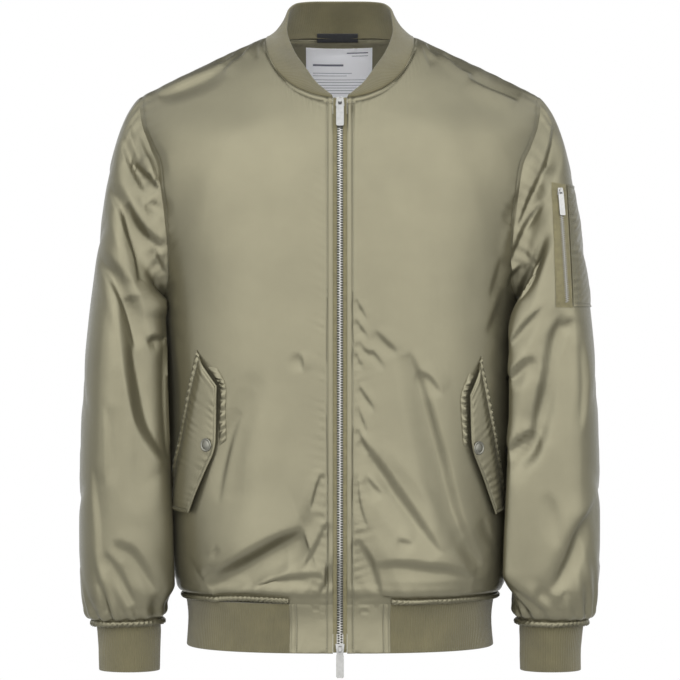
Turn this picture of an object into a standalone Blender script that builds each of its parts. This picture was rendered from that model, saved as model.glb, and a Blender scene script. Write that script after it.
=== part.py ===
"""Zipped bomber jacket, filled out and hollow, hanging from its shoulders.

Metres, +Z up.  The front faces -Y and the wearer's left is +X.  The origin is the
middle of the neck, level with the two points where the shoulder seams meet the
collar.  Every piece that is cut and sewn is a wall of cloth of its own, 0.3 mm from
its neighbours at the seams.
"""

import math

import bmesh
import bpy
import numpy as np
from mathutils import Matrix, Vector
from mathutils.bvhtree import BVHTree

# ---------------------------------------------------------------- driving sizes
GAP = 0.0003                 # between two pieces at a seam
SHELL = 0.0020               # padded satin shell
RIB = 0.0024                 # ribbed hem and cuffs
COLLAR = 0.0028              # doubled rib collar
LINING = 0.0010
LABEL = 0.0008
FLAP = 0.0014
WELT = 0.0009

NECK_HALF = 0.085            # middle of the neck to the top of the shoulder seam
NECK_DROP = 0.0765           # front neckline below the shoulder tops
NECK_RISE = 0.008            # back neckline above them
NECK_POWER = 2.1
SHOULDER_X = 0.231
SHOULDER_Z = -0.069
UNDERARM_Z = -0.310
SEAM_Z = -0.642              # shell to hem band
HEM_Z = -0.697
FRONT_EDGE = 0.0080          # the fronts stop this far from the middle
TAB_EDGE = 0.0565            # shell tab to rib in the hem band
ROUNDNESS = 2.4              # power of the body's rounded sections
NECK_SOFT = 0.025            # rounding of the shoulder line where it crosses the neck
SLOPE = -SHOULDER_Z / (math.hypot(SHOULDER_X, NECK_SOFT) - math.hypot(NECK_HALF, NECK_SOFT))

# Body sections: height, half width, depth of front, of back, and of the zip line.
BODY = (
    (-0.697, 0.1755, 0.1200, 0.1090, 0.1200),
    (-0.665, 0.1735, 0.1170, 0.1060, 0.1185),
    (-0.642, 0.1765, 0.1205, 0.1100, 0.1215),
    (-0.632, 0.1840, 0.1300, 0.1210, 0.1250),
    (-0.615, 0.1910, 0.1360, 0.1260, 0.1290),
    (-0.580, 0.1950, 0.1370, 0.1270, 0.1335),
    (-0.520, 0.1980, 0.1340, 0.1230, 0.1340),
    (-0.450, 0.2010, 0.1325, 0.1200, 0.1325),
    (-0.380, 0.2025, 0.1320, 0.1200, 0.1315),
    (-0.310, 0.2040, 0.1310, 0.1220, 0.1300),
    (-0.200, 0.2220, 0.1240, 0.1280, 0.1240),
    (-0.120, 0.2380, 0.1090, 0.1240, 0.1075),
    (-0.078, 0.2450, 0.0920, 0.1180, 0.0895),
    (-0.050, 0.2490, 0.0850, 0.1150, 0.0776),
    (0.010, 0.2560, 0.0750, 0.1190, 0.0520),
)
ROLL = {"front": (0.110, 0.150), "back": (0.100, 0.150)}  # drop and length of the roll

# Armhole seam: height, distance from the middle on the front and on the back.
ARMHOLE = (
    (-0.310, 0.2040, 0.2040),
    (-0.295, 0.1975, 0.2035),
    (-0.270, 0.1945, 0.2025),
    (-0.240, 0.1950, 0.2030),
    (-0.200, 0.2000, 0.2070),
    (-0.170, 0.2035, 0.2110),
    (-0.150, 0.2075, 0.2150),
    (-0.130, 0.2165, 0.2200),
    (-0.100, 0.2270, 0.2270),
    (-0.069, 0.2310, 0.2310),
)

# Sleeve stations: outer x and z, inner x and z, middle y and half depth.
SLEEVE = (
    (0.2310, -0.069, 0.2040, -0.3100, 0.000, 0.0650),
    (0.2460, -0.092, 0.2085, -0.3125, -0.001, 0.0670),
    (0.2585, -0.128, 0.2100, -0.3160, -0.003, 0.0700),
    (0.2675, -0.175, 0.2100, -0.3205, -0.006, 0.0730),
    (0.2745, -0.225, 0.2095, -0.3270, -0.009, 0.0750),
    (0.2810, -0.275, 0.2090, -0.3370, -0.012, 0.0760),
    (0.2870, -0.325, 0.2080, -0.3540, -0.015, 0.0760),
    (0.2920, -0.380, 0.2070, -0.3870, -0.018, 0.0750),
    (0.2950, -0.435, 0.2055, -0.4320, -0.021, 0.0730),
    (0.2965, -0.490, 0.2030, -0.4850, -0.024, 0.0710),
    (0.2970, -0.545, 0.2000, -0.5400, -0.027, 0.0670),
    (0.2965, -0.595, 0.1980, -0.5900, -0.029, 0.0620),
    (0.2940, -0.632, 0.1970, -0.6300, -0.030, 0.0570),
    (0.2905, -0.652, 0.1980, -0.6520, -0.030, 0.0500),
    (0.2860, -0.664, 0.2010, -0.6630, -0.030, 0.0420),
    (0.2775, -0.670, 0.2050, -0.6700, -0.030, 0.0330),
)
SLEEVE_POWER = 2.2
SLEEVE_CLEAR = 0.0045        # of the body's side
LAP = {1: 0.036, -1: 0.006}  # how far each sleeve laps in front of the body's side
EASE = (1.0, 0.50, 0.20, 0.06)  # the armhole's own shape, fading down the sleeve

# Cuff rings: height, middle x, half width, half depth.
CUFF = (
    (-0.6700, 0.24125, 0.03625, 0.0330),
    (-0.6790, 0.24050, 0.03600, 0.0325),
    (-0.7000, 0.24000, 0.03480, 0.0310),
    (-0.7245, 0.24000, 0.03430, 0.0300),
)
CUFF_Y = -0.030

# Upper edge of the collar, by the share of the way from centre front to centre back.
COLLAR_TOP = (
    (0.00, 0.0095, -0.0865, -0.0730),
    (0.15, 0.0265, -0.0730, -0.0575),
    (0.30, 0.0379, -0.0570, -0.0405),
    (0.45, 0.0530, -0.0310, -0.0160),
    (0.60, 0.0613, 0.0010, 0.0120),
    (0.72, 0.0605, 0.0270, 0.0330),
    (0.82, 0.0500, 0.0460, 0.0445),
    (0.92, 0.0260, 0.0560, 0.0475),
    (1.00, 0.0000, 0.0580, 0.0478),
)
COLLAR_BULGE = 0.0035
COLLAR_TAPER = 0.30          # share of each half over which the wall thins to its end
UNDERARM_THIN = 0.6          # of the full thickness, at the underarm
UNDERARM_REACH = 0.045

# Cells of the cloth grids.
NECK_CELLS = 6
SHOULDER_CELLS = 7
TAB_CELLS = 3
ARM_CELLS = 12
SIDE_CELLS = 13
AROUND = 2 * ARM_CELLS
SLEEVE_STEPS = 24            # rings of the sleeve between its first and last station
UNDER_SLEEVE = (10, 18)      # columns of the under sleeve, from the outside round the front
COLLAR_CELLS = 4
HEM_CELLS = 3
RELAX_ROWS = 14              # rows of a panel that are evened out
RELAX_TURNS = 120
OUTLINE_MARGIN = 0.004       # round the outline of a piece that lies on a panel
OUTLINE_DEPTH = (-0.035, 0.050)  # how far its cutter reaches in and out

# The largest folds.  view: the side they are seen from; start and end in that view
# (across, height); bow: sideways bend of the middle; wide: half width; deep: metres in
# (-) or out (+).
FOLDS = (
    # view     x0      z0      x1      z1      bow     wide   deep
    ("front", 0.080, -0.373, 0.136, -0.552, 0.010, 0.022, -0.0102),
    ("front", 0.058, -0.400, 0.098, -0.560, -0.010, 0.029, 0.0068),
    ("front", 0.045, -0.486, 0.092, -0.549, 0.004, 0.019, -0.0076),
    ("front", 0.017, -0.560, 0.050, -0.632, 0.004, 0.019, -0.0068),
    ("front", 0.139, -0.571, 0.165, -0.612, 0.000, 0.019, -0.0068),
    ("front", -0.099, -0.403, -0.126, -0.510, -0.006, 0.022, -0.0093),
    ("front", -0.070, -0.420, -0.096, -0.545, -0.004, 0.029, 0.0059),
    ("front", -0.038, -0.560, -0.152, -0.622, 0.012, 0.022, -0.0110),
    ("front", -0.026, -0.535, -0.044, -0.606, -0.004, 0.019, -0.0068),
    ("front", 0.060, -0.130, 0.112, -0.300, 0.012, 0.039, -0.0059),
    ("front", -0.060, -0.130, -0.106, -0.300, -0.012, 0.039, -0.0059),
    ("front", 0.150, -0.125, 0.185, -0.250, 0.010, 0.029, -0.0068),
    ("front", -0.150, -0.125, -0.182, -0.250, -0.010, 0.029, -0.0059),
    ("front", 0.241, -0.104, 0.199, -0.211, 0.008, 0.019, -0.0119),
    ("front", 0.239, -0.187, 0.200, -0.256, -0.008, 0.019, -0.0085),
    ("front", 0.238, -0.218, 0.204, -0.302, -0.008, 0.019, -0.0093),
    ("front", 0.252, -0.316, 0.226, -0.380, -0.004, 0.019, -0.0102),
    ("front", 0.225, -0.380, 0.198, -0.492, 0.008, 0.020, -0.0093),
    ("front", 0.268, -0.560, 0.234, -0.632, 0.004, 0.019, -0.0076),
    ("front", -0.263, -0.179, -0.227, -0.281, 0.010, 0.019, -0.0093),
    ("front", -0.274, -0.260, -0.234, -0.337, 0.010, 0.019, -0.0093),
    ("front", -0.240, -0.135, -0.204, -0.200, -0.006, 0.019, -0.0085),
    ("front", -0.242, -0.400, -0.226, -0.520, 0.006, 0.025, -0.0068),
    ("front", -0.246, -0.600, -0.230, -0.648, 0.000, 0.019, -0.0068),
    ("back", 0.175, -0.200, 0.075, -0.330, 0.010, 0.029, -0.0085),
    ("back", -0.178, -0.205, -0.085, -0.345, -0.010, 0.029, -0.0085),
    ("back", 0.150, -0.380, 0.060, -0.560, 0.012, 0.031, -0.0093),
    ("back", -0.150, -0.400, -0.050, -0.585, -0.012, 0.031, -0.0093),
    ("back", 0.020, -0.180, -0.012, -0.420, 0.010, 0.045, -0.0051),
    ("back", 0.262, -0.300, 0.222, -0.400, 0.006, 0.020, -0.0093),
    ("back", -0.262, -0.290, -0.222, -0.390, -0.006, 0.020, -0.0093),
    ("back", 0.268, -0.470, 0.224, -0.560, -0.006, 0.020, -0.0076),
    ("back", -0.268, -0.480, -0.224, -0.570, 0.006, 0.020, -0.0076),
    ("left", -0.060, -0.230, 0.040, -0.300, 0.006, 0.020, -0.0085),
    ("left", 0.045, -0.360, -0.070, -0.420, 0.006, 0.022, -0.0093),
    ("left", -0.070, -0.500, 0.030, -0.560, 0.004, 0.020, -0.0076),
    ("right", -0.055, -0.215, 0.045, -0.290, 0.006, 0.020, -0.0085),
    ("right", 0.045, -0.350, -0.070, -0.430, 0.006, 0.022, -0.0093),
    ("right", -0.070, -0.510, 0.030, -0.565, 0.004, 0.020, -0.0076),
)
VIEWS = {                    # across axis and the direction that faces the viewer
    "front": (0, Vector((0, -1, 0))),
    "back": (0, Vector((0, 1, 0))),
    "left": (1, Vector((1, 0, 0))),
    "right": (1, Vector((-1, 0, 0))),
}
HEM_GATHER = 0.0016          # zigzag of the shell where it is gathered onto the ribs
CUFF_GATHER = 0.0016
GATHER_ROWS = ((-2, 1.0), (-3, 0.6))  # rows from the end of a panel, and their share

# Slanted front pockets: flap corners A to E (attached edge A-E, free edge B-C-D) and
# the outer corners of the welt that shows beyond B-C, as (distance from middle, z).
POCKETS = {
    1: {
        "flap": ((0.1584, -0.3664), (0.1416, -0.4099), (0.1433, -0.4702),
                 (0.1713, -0.5442), (0.1885, -0.5348)),
        "welt": ((0.1441, -0.3860), (0.1335, -0.4100), (0.1371, -0.4660)),
        "snap": (0.1510, -0.4690),
    },
    -1: {
        "flap": ((0.1600, -0.3597), (0.1335, -0.3998), (0.1358, -0.4701),
                 (0.1659, -0.5427), (0.1935, -0.5378)),
        "welt": ((0.1370, -0.3800), (0.1262, -0.3975), (0.1290, -0.4600)),
        "snap": (0.1455, -0.4655),
    },
}
FLAP_TO_WELT = 0.55          # the welt comes out from under the flap, as a share of A-B
SNAP_RADIUS = 0.0075
SNAP_HEIGHT = 0.0024
SNAP_SIDES = 16
SNAP_PROFILE = (             # radius and height of the cap's rings
    (0.0060, 0.0), (SNAP_RADIUS, 0.0006), (SNAP_RADIUS, 0.0013),
    (0.0060, 0.0019), (0.0048, 0.0017), (0.0040, SNAP_HEIGHT - 0.0002),
)

# Front zip, in its own frame: across, out of the cloth, and down along the zip.
CHAIN_HALF = 0.0030
CHAIN_OUT = 0.0010
CHAIN_IN = -0.0022
TAPE_IN = -0.0014
ZIP_TOP = -0.0765
ZIP_END = -0.6960
ZIP_CELLS = 26
SLIDER_LENGTH = 0.0115
SLIDER_HALF = 0.0050
SLIDER_PLATE = 0.0014
SLIDER_CROWN = 0.0035        # the closed end of the slider, beyond the chain
BRIDGE_HALF = 0.0015
BRIDGE_HIGH = 0.0026         # clear height under the bridge
BRIDGE_THICK = 0.0012
BRIDGE_UP = 0.0042           # from the pull's hinge to the bridge's ends
BRIDGE_DOWN = 0.0028
SLIDER_NARROW = 0.74         # width of the slider's crown, as a share
BITE = 0.0004                # how far joined blocks of metal run into each other
PIN_DOWN = 0.0066            # pull's hinge below the slider's upper end
PIN_RADIUS = 0.00075
PULL_THICK = 0.0016
PULL_LENGTH = 0.0312
PULL_HALF = 0.0043
PULL_WAIST = 0.86            # width of the pull at its eye, as a share
PULL_CORNER = 0.0012
EYE_LENGTH = 0.0046
EYE_CLEAR = 0.0008           # between the bridge's side and the eye's
PIN_SIDES = 10
BOTTOM_SLIDER_TOP = -0.6860

# Sleeve utility pocket, on the wearer's left sleeve, seen from the front (x, z).
SLEEVE_ZIP_TAPE = ((0.2387, -0.1704), (0.2560, -0.1727), (0.2612, -0.3119), (0.2423, -0.3119))
SLEEVE_CHAIN = ((0.2483, -0.1860), (0.2547, -0.3057))
SLEEVE_CHAIN_HALF = 0.0021
SLEEVE_CHAIN_THICK = 0.0014
SLEEVE_POCKET_TOP = -0.1727
SLEEVE_POCKET_BOTTOM = -0.3110
SLEEVE_POCKET_BACK = 0.036
SLEEVE_SLIDER_SCALE = 0.72
SLEEVE_PULL_LENGTH = 0.0285
SLEEVE_PULL_LEAN = 0.05      # away from the cloth
SLEEVE_PULL_HALF = 0.0031
SLEEVE_PULL_DRIFT = 0.0018   # of the chain, towards the outside, over the pull's length
SLEEVE_FACING = (0.15, -0.98, 0.0)

LABEL_BOX = ((-0.040, 0.038), (-0.080, -0.0055))
LINING_ROWS = 6
LOOP_ENDS = (-0.0268, 0.0209)
LOOP_HIGH = 0.0115
LOOP_THICK = 0.0012
LOOP_CELLS = 10
LOOP_LEAN = -30.0            # degrees that the loop leans into the neck
LOOP_ABOVE = 0.30            # share of its height above the seam

# Finish: colour, roughness, metallic.
FINISHES = {
    "shell": ((0.36, 0.35, 0.25), 0.42, 0.0),
    "rib": ((0.16, 0.15, 0.10), 0.90, 0.0),
    "tape": ((0.22, 0.18, 0.08), 0.80, 0.0),
    "metal": ((0.72, 0.72, 0.70), 0.28, 1.0),
    "label": ((0.78, 0.78, 0.84), 0.60, 0.0),
    "loop": ((0.012, 0.012, 0.014), 0.70, 0.0),
}


# ---------------------------------------------------------------- small tools
def column(rows, index, key=0):
    """A smooth curve, without overshoot, through one column of a table."""
    keys = np.array([row[key] for row in rows], float)
    values = np.array([row[index] for row in rows], float)
    step = np.diff(keys)
    rise = np.diff(values) / step
    slope = np.zeros(len(keys))
    slope[0], slope[-1] = rise[0], rise[-1]
    for i in range(1, len(keys) - 1):
        if rise[i - 1] * rise[i] > 0:
            before = 2 * step[i] + step[i - 1]
            after = step[i] + 2 * step[i - 1]
            slope[i] = (before + after) / (before / rise[i - 1] + after / rise[i])

    def at(place):
        place = np.clip(place, keys[0], keys[-1])
        i = np.clip(np.searchsorted(keys, place) - 1, 0, len(keys) - 2)
        t = (place - keys[i]) / step[i]
        start = (1 + 2 * t) * (1 - t) ** 2 * values[i] + t**2 * (3 - 2 * t) * values[i + 1]
        return start + step[i] * (t * (1 - t) ** 2 * slope[i] - t**2 * (1 - t) * slope[i + 1])

    return at


def stations(rows):
    """The table with its row number as a first column."""
    return [(i, *row) for i, row in enumerate(rows)]


def smooth(t):
    t = np.clip(t, 0.0, 1.0)
    return t * t * (3 - 2 * t)


def unit(vectors):
    length = np.linalg.norm(vectors, axis=-1, keepdims=True)
    return vectors / np.maximum(length, 1e-12)


half_width = column(BODY, 1)
DEPTH = {"front": column(BODY, 2), "back": column(BODY, 3)}
zip_depth = column(BODY, 4)
armhole_x = {"front": column(ARMHOLE, 1), "back": column(ARMHOLE, 2)}


# ---------------------------------------------------------------- body surface
def ridge(x):
    """Height of the shoulder line, carried on across the neck."""
    return (math.hypot(NECK_HALF, NECK_SOFT) - np.hypot(x, NECK_SOFT)) * SLOPE


def turn_of(x, z):
    """Angle round the body, 0 at the middle and 90 degrees at the side seam."""
    share = np.clip(np.abs(x) / half_width(z), 0.0, 1.0)
    return np.arcsin(share ** (ROUNDNESS / 2)) * np.sign(x)


def run_of(x, z, face):
    """Length of cloth from the shoulder line down to a point."""
    drop, length = ROLL[face]
    below = ridge(x) - z
    rolled = length * np.arccos(1 - np.clip(below / drop, 0, 1)) / (math.pi / 2)
    return rolled + np.maximum(below - drop, 0)


def body_point(turn, run, face):
    """Point on the body at an angle round it and a length below the shoulder line."""
    drop, length = ROLL[face]
    angle = np.clip(run / length, 0, 1) * math.pi / 2
    below = drop * (1 - np.cos(angle)) + np.maximum(run - length, 0)
    across = np.abs(np.sin(turn)) ** (2 / ROUNDNESS) * np.sign(turn)
    z = ridge(NECK_HALF) - below
    for _ in range(40):
        z = ridge(half_width(z) * across) - below
    depth = DEPTH[face](z)
    if face == "front":
        flat = smooth(np.abs(turn) / math.radians(24))
        depth = zip_depth(z) + (depth - zip_depth(z)) * flat
    y = depth * np.abs(np.cos(turn)) ** (2 / ROUNDNESS) * np.sin(angle)
    return np.stack([half_width(z) * across, -y if face == "front" else y, z], axis=-1)


def patch(top, bottom, left, right):
    """Even grid between four edges, given as (n, 2) arrays in turn and run."""
    # rows move down the left and right edges at the pace of those edges
    pace_left = (left[:, 1] - left[0, 1]) / (left[-1, 1] - left[0, 1])
    pace_right = (right[:, 1] - right[0, 1]) / (right[-1, 1] - right[0, 1])
    u = np.linspace(0, 1, len(top))[None, :, None]
    share = pace_left[:, None, None] * (1 - u) + pace_right[:, None, None] * u
    across = top[None, :, :] * (1 - share) + bottom[None, :, :] * share
    mend_left = left[:, None, :] - across[:, :1, :]
    mend_right = right[:, None, :] - across[:, -1:, :]
    grid = across + mend_left * (1 - u) + mend_right * u
    # relax the upper rows, where the neckline and the armhole crowd the columns
    keep = 1 - smooth((np.arange(1, len(left) - 1) - RELAX_ROWS) / 4.0)[:, None, None]
    for _ in range(RELAX_TURNS):
        inner = (grid[:-2, 1:-1] + grid[2:, 1:-1] + grid[1:-1, :-2] + grid[1:-1, 2:]) / 4
        grid[1:-1, 1:-1] += (inner - grid[1:-1, 1:-1]) * keep
    return grid


def edge(points, face):
    """Front-view points (x, z) as turn and run."""
    x, z = np.array(points, float).T
    return np.stack([turn_of(x, z), run_of(x, z, face)], axis=-1)


def front_neckline():
    """Centre front to the top of the shoulder."""
    first = math.asin((FRONT_EDGE / NECK_HALF) ** (NECK_POWER / 2))
    angles = np.linspace(first, math.pi / 2, NECK_CELLS + 1)
    x = NECK_HALF * np.sin(angles) ** (2 / NECK_POWER)
    z = -NECK_DROP * np.clip(np.cos(angles), 0, 1) ** (2 / NECK_POWER)
    z[-1] = 0.0
    return list(zip(x, z))


def back_neckline():
    """From the wearer's left shoulder to the right one."""
    x = NECK_HALF * np.cos(np.linspace(0, math.pi, 2 * NECK_CELLS + 1))
    x = 0.5 * x + 0.5 * np.linspace(NECK_HALF, -NECK_HALF, 2 * NECK_CELLS + 1)
    z = NECK_RISE * (1 - (x / NECK_HALF) ** 2)
    return list(zip(x, z))


def shoulder_line():
    x = np.linspace(NECK_HALF, SHOULDER_X, SHOULDER_CELLS + 1)
    return list(zip(x, ridge(x)))


def armhole(face):
    """Shoulder point down to the underarm."""
    middle = (SHOULDER_Z + UNDERARM_Z) / 2
    reach = (SHOULDER_Z - UNDERARM_Z) / 2
    z = middle + reach * np.cos(np.linspace(0, math.pi, ARM_CELLS + 1))
    return list(zip(armhole_x[face](z), z))


def side_seam():
    """Underarm down to the hem band, closer together where the shell is gathered."""
    share = np.linspace(0, 1, SIDE_CELLS + 1)
    z = UNDERARM_Z + (SEAM_Z - UNDERARM_Z) * (1.35 * share - 0.35 * share**3)
    return list(zip(half_width(z), z))


def hem_turns():
    """Angles of the hem's columns on one half of the front, from the zip outwards."""
    tab = turn_of(np.array([FRONT_EDGE, TAB_EDGE]), np.array([SEAM_Z, SEAM_Z]))
    inner = np.linspace(tab[0], tab[1], TAB_CELLS + 1)
    outer_cells = NECK_CELLS + SHOULDER_CELLS - TAB_CELLS
    outer = np.linspace(tab[1], math.pi / 2, outer_cells + 1)
    return np.concatenate([inner, outer[1:]])


def front_grid():
    """Front on the wearer's left: rows downwards, columns from the zip to the side."""
    top = edge(front_neckline() + shoulder_line()[1:], "front")
    right = edge(armhole("front") + side_seam()[1:], "front")
    rows = len(right)
    share = np.linspace(0, 1, rows) ** 1.25
    z = -NECK_DROP + (SEAM_Z + NECK_DROP) * (1.12 * share - 0.12 * share**3)
    x = np.full(rows, FRONT_EDGE)
    left = edge(list(zip(x, z)), "front")
    left[0] = top[0]
    turns = hem_turns()
    run = run_of(half_width(SEAM_Z) * np.sin(turns) ** (2 / ROUNDNESS), SEAM_Z, "front")
    bottom = np.stack([turns, run], axis=-1)
    left[-1] = bottom[0]
    right[-1] = bottom[-1]
    flat = patch(top, bottom, left, right)
    return body_point(flat[..., 0], flat[..., 1], "front")


def back_grid(front):
    """Back, seen from behind: columns from the wearer's left to the right."""
    line = shoulder_line()
    top = edge(line[::-1] + back_neckline()[1:-1] + [(-x, z) for x, z in line], "back")
    left = edge(armhole("back") + side_seam()[1:], "back")
    right = left * np.array([-1, 1])
    turns = np.linspace(math.pi / 2, -math.pi / 2, len(top))
    across = np.abs(np.sin(turns)) ** (2 / ROUNDNESS) * half_width(SEAM_Z)
    bottom = np.stack([turns, run_of(across, SEAM_Z, "back")], axis=-1)
    left[-1] = bottom[0]
    right[-1] = bottom[-1]
    flat = patch(top, bottom, left, right)
    grid = body_point(flat[..., 0], flat[..., 1], "back")
    mirror = np.array([-1, 1, 1])
    shoulder = front[0, NECK_CELLS:][::-1]
    grid[0, : SHOULDER_CELLS + 1] = shoulder
    grid[0, -SHOULDER_CELLS - 1 :] = shoulder[::-1] * mirror
    grid[ARM_CELLS:, 0] = front[ARM_CELLS:, -1]
    grid[ARM_CELLS:, -1] = front[ARM_CELLS:, -1] * mirror
    return grid


# ---------------------------------------------------------------- sleeves
def body_clear(y, z):
    """Least distance from the middle that clears the body's side by SLEEVE_CLEAR."""
    depth = np.where(y < 0, DEPTH["front"](z), DEPTH["back"](z)) + SLEEVE_CLEAR
    share = np.clip(1 - (np.abs(y) / depth) ** ROUNDNESS, 0, 1)
    return (half_width(z) + SLEEVE_CLEAR) * share ** (1 / ROUNDNESS)


def sleeve_ring(station, angles, side):
    """Ring of a sleeve: angle 0 is outside, 90 degrees in front and 180 inside."""
    rows = stations(SLEEVE)
    outer_x, outer_z, inner_x, inner_z, middle_y, half_depth = (
        column(rows, i)(station) for i in range(1, 7)
    )
    power = 2 / SLEEVE_POWER
    cos = np.sign(np.cos(angles)) * np.abs(np.cos(angles)) ** power
    sin = np.sign(np.sin(angles)) * np.abs(np.sin(angles)) ** power
    x = (outer_x + inner_x) / 2 + (outer_x - inner_x) / 2 * cos
    z = (outer_z + inner_z) / 2 + (outer_z - inner_z) / 2 * cos
    y = middle_y - half_depth * sin
    near_front = np.clip(1 - np.abs(np.degrees(angles) - 118) / 54, 0, 1)
    reach = smooth((station - 1.6) / 4.0) * smooth((z + 0.66) / 0.10)
    x = x - LAP[side] * smooth(near_front) * reach
    beside = np.maximum(smooth((-0.285 - z) / 0.03), smooth((station - 1.5) / 1.5))
    x = np.maximum(x, body_clear(y, z) * beside)
    return np.stack([x, y, z], axis=-1)


def sleeve_grid(front, back, side):
    """Rings from the armhole down to the cuff, for the wearer's left (side = 1)."""
    angles = np.linspace(0, 2 * math.pi, AROUND, endpoint=False)
    hole = np.concatenate([front[: ARM_CELLS + 1, -1], back[1:ARM_CELLS, 0][::-1]])
    last = len(SLEEVE) - 1
    places = np.concatenate([np.linspace(0, 12, SLEEVE_STEPS - 2), np.arange(13, last + 1)])
    rings = []
    fade = column([(i, w) for i, w in enumerate(EASE)], 1)
    shape = hole - sleeve_ring(0.0, angles, side)
    for place in places:
        keep = float(fade(place)) if place < len(EASE) - 1 else 0.0
        if place >= len(EASE) - 1:
            keep = max(0.0, EASE[-1] * (1 - (place - len(EASE) + 1) / 2))
        rings.append(sleeve_ring(place, angles, side) + shape * keep)
    rings[0] = hole
    return np.array(rings)


def cuff_grid(last_ring):
    rings = [last_ring]
    angles = np.linspace(0, 2 * math.pi, AROUND, endpoint=False)
    for z, middle, half, deep in CUFF[1:]:
        x = middle + half * np.cos(angles)
        y = CUFF_Y - deep * np.sin(angles)
        rings.append(np.stack([x, y, np.full(AROUND, z)], axis=-1))
    return np.array(rings)


# ---------------------------------------------------------------- collar and hem
def collar_grid(front, back):
    """Rows from the upper edge to the neck seam, columns from left front to right."""
    mirror = np.array([-1, 1, 1])
    left = front[0, : NECK_CELLS + 1]
    middle = back[0, SHOULDER_CELLS : SHOULDER_CELLS + 2 * NECK_CELLS + 1]
    seam = np.concatenate([left, middle[1:-1], (left * mirror)[::-1]])
    walked = np.concatenate([[0], np.cumsum(np.linalg.norm(np.diff(seam, axis=0), axis=1))])
    share = 1 - np.abs(2 * walked / walked[-1] - 1)
    side = np.where(np.arange(len(seam)) * 2 < len(seam) - 1, 1.0, -1.0)
    side[len(seam) // 2] = 0.0
    top = np.stack([column(COLLAR_TOP, i)(share) for i in (1, 2, 3)], axis=-1)
    top[:, 0] *= side
    rise = np.linalg.norm(top - seam, axis=1, keepdims=True)
    outward = unit(seam * np.array([1, 1, 0]))
    rows = []
    for v in np.linspace(0, 1, COLLAR_CELLS + 1):
        bulge = COLLAR_BULGE * math.sin(math.pi * v) * rise / 0.045
        rows.append(top * (1 - v) + seam * v + outward * bulge)
    rows[-1] = seam
    return np.array(rows)


def band(seam, face_of):
    """Rows of the hem band below a row of seam points."""
    rows = [seam]
    turns = np.arcsin(np.clip(np.abs(seam[:, 0]) / half_width(SEAM_Z), 0, 1) ** (ROUNDNESS / 2))
    turns *= np.sign(seam[:, 0])
    for z in np.linspace(SEAM_Z, HEM_Z, HEM_CELLS + 1)[1:]:
        x = half_width(z) * np.abs(np.sin(turns)) ** (2 / ROUNDNESS) * np.sign(turns)
        full = np.where(face_of == "front", DEPTH["front"](z), DEPTH["back"](z))
        flat = smooth(np.abs(turns) / math.radians(24))
        depth = np.where(face_of == "front", zip_depth(z) + (full - zip_depth(z)) * flat, full)
        y = depth * np.abs(np.cos(turns)) ** (2 / ROUNDNESS)
        rows.append(np.stack([x, np.where(face_of == "front", -y, y), np.full(len(x), z)], axis=-1))
    return np.array(rows)


# ---------------------------------------------------------------- cloth
def bow_points(row, count=13):
    """A fold's line as points in its view."""
    _, x0, z0, x1, z1, bow, _, _ = row
    t = np.linspace(0, 1, count)[:, None]
    start, end = np.array([x0, z0]), np.array([x1, z1])
    sideways = np.array([z0 - z1, x1 - x0]) / max(math.hypot(x1 - x0, z1 - z0), 1e-9)
    return start * (1 - t) + end * t + sideways * bow * 4 * t * (1 - t), t[:, 0]


def fold_depth(points, normals):
    """How far each point moves along its normal."""
    moved = np.zeros(len(points))
    for row in FOLDS:
        view, wide, deep = row[0], row[6], row[7]
        axis, towards = VIEWS[view]
        line, t = bow_points(row)
        seen = np.stack([points[:, axis], points[:, 2]], axis=-1)
        away = np.linalg.norm(seen[:, None, :] - line[None, :, :], axis=2)
        nearest = np.argmin(away, axis=1)
        ends = np.sin(math.pi * np.clip(t[nearest] * 0.86 + 0.07, 0, 1)) ** 0.7
        facing = smooth((normals @ np.array(towards) - 0.10) / 0.35)
        bell = np.clip(1 - (away[np.arange(len(points)), nearest] / wide) ** 2, 0, 1) ** 2
        moved += deep * bell * ends * facing
    return moved


def cells(index, closed):
    """Corners of a grid's cells: upper left, lower left, lower right, upper right."""
    right = np.roll(index, -1, axis=1)
    last = index.shape[1] if closed else index.shape[1] - 1
    corners = (index[:-1], index[1:], right[1:], right[:-1])
    return [corner[:, :last] for corner in corners]


def triangles(index, closed, turned=None):
    """Two triangles for each cell; where turned, they meet on the other diagonal."""
    a, b, c, d = cells(index, closed)
    turned = np.zeros(a.shape, bool) if turned is None else turned
    plain = np.stack([a, b, c, a, c, d], axis=-1)
    other = np.stack([a, b, d, b, c, d], axis=-1)
    return np.where(turned[..., None], other, plain).reshape(-1, 3)


def flatter_diagonals(points, closed):
    """Cells whose other diagonal bends the cloth less."""
    index = np.arange(points.shape[0] * points.shape[1]).reshape(points.shape[:2])
    a, b, c, d = (points.reshape(-1, 3)[corner] for corner in cells(index, closed))
    plain = (unit(np.cross(b - a, c - a)) * unit(np.cross(c - a, d - a))).sum(axis=-1)
    other = (unit(np.cross(b - a, d - a)) * unit(np.cross(c - b, d - b))).sum(axis=-1)
    return other > plain + 0.001


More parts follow.
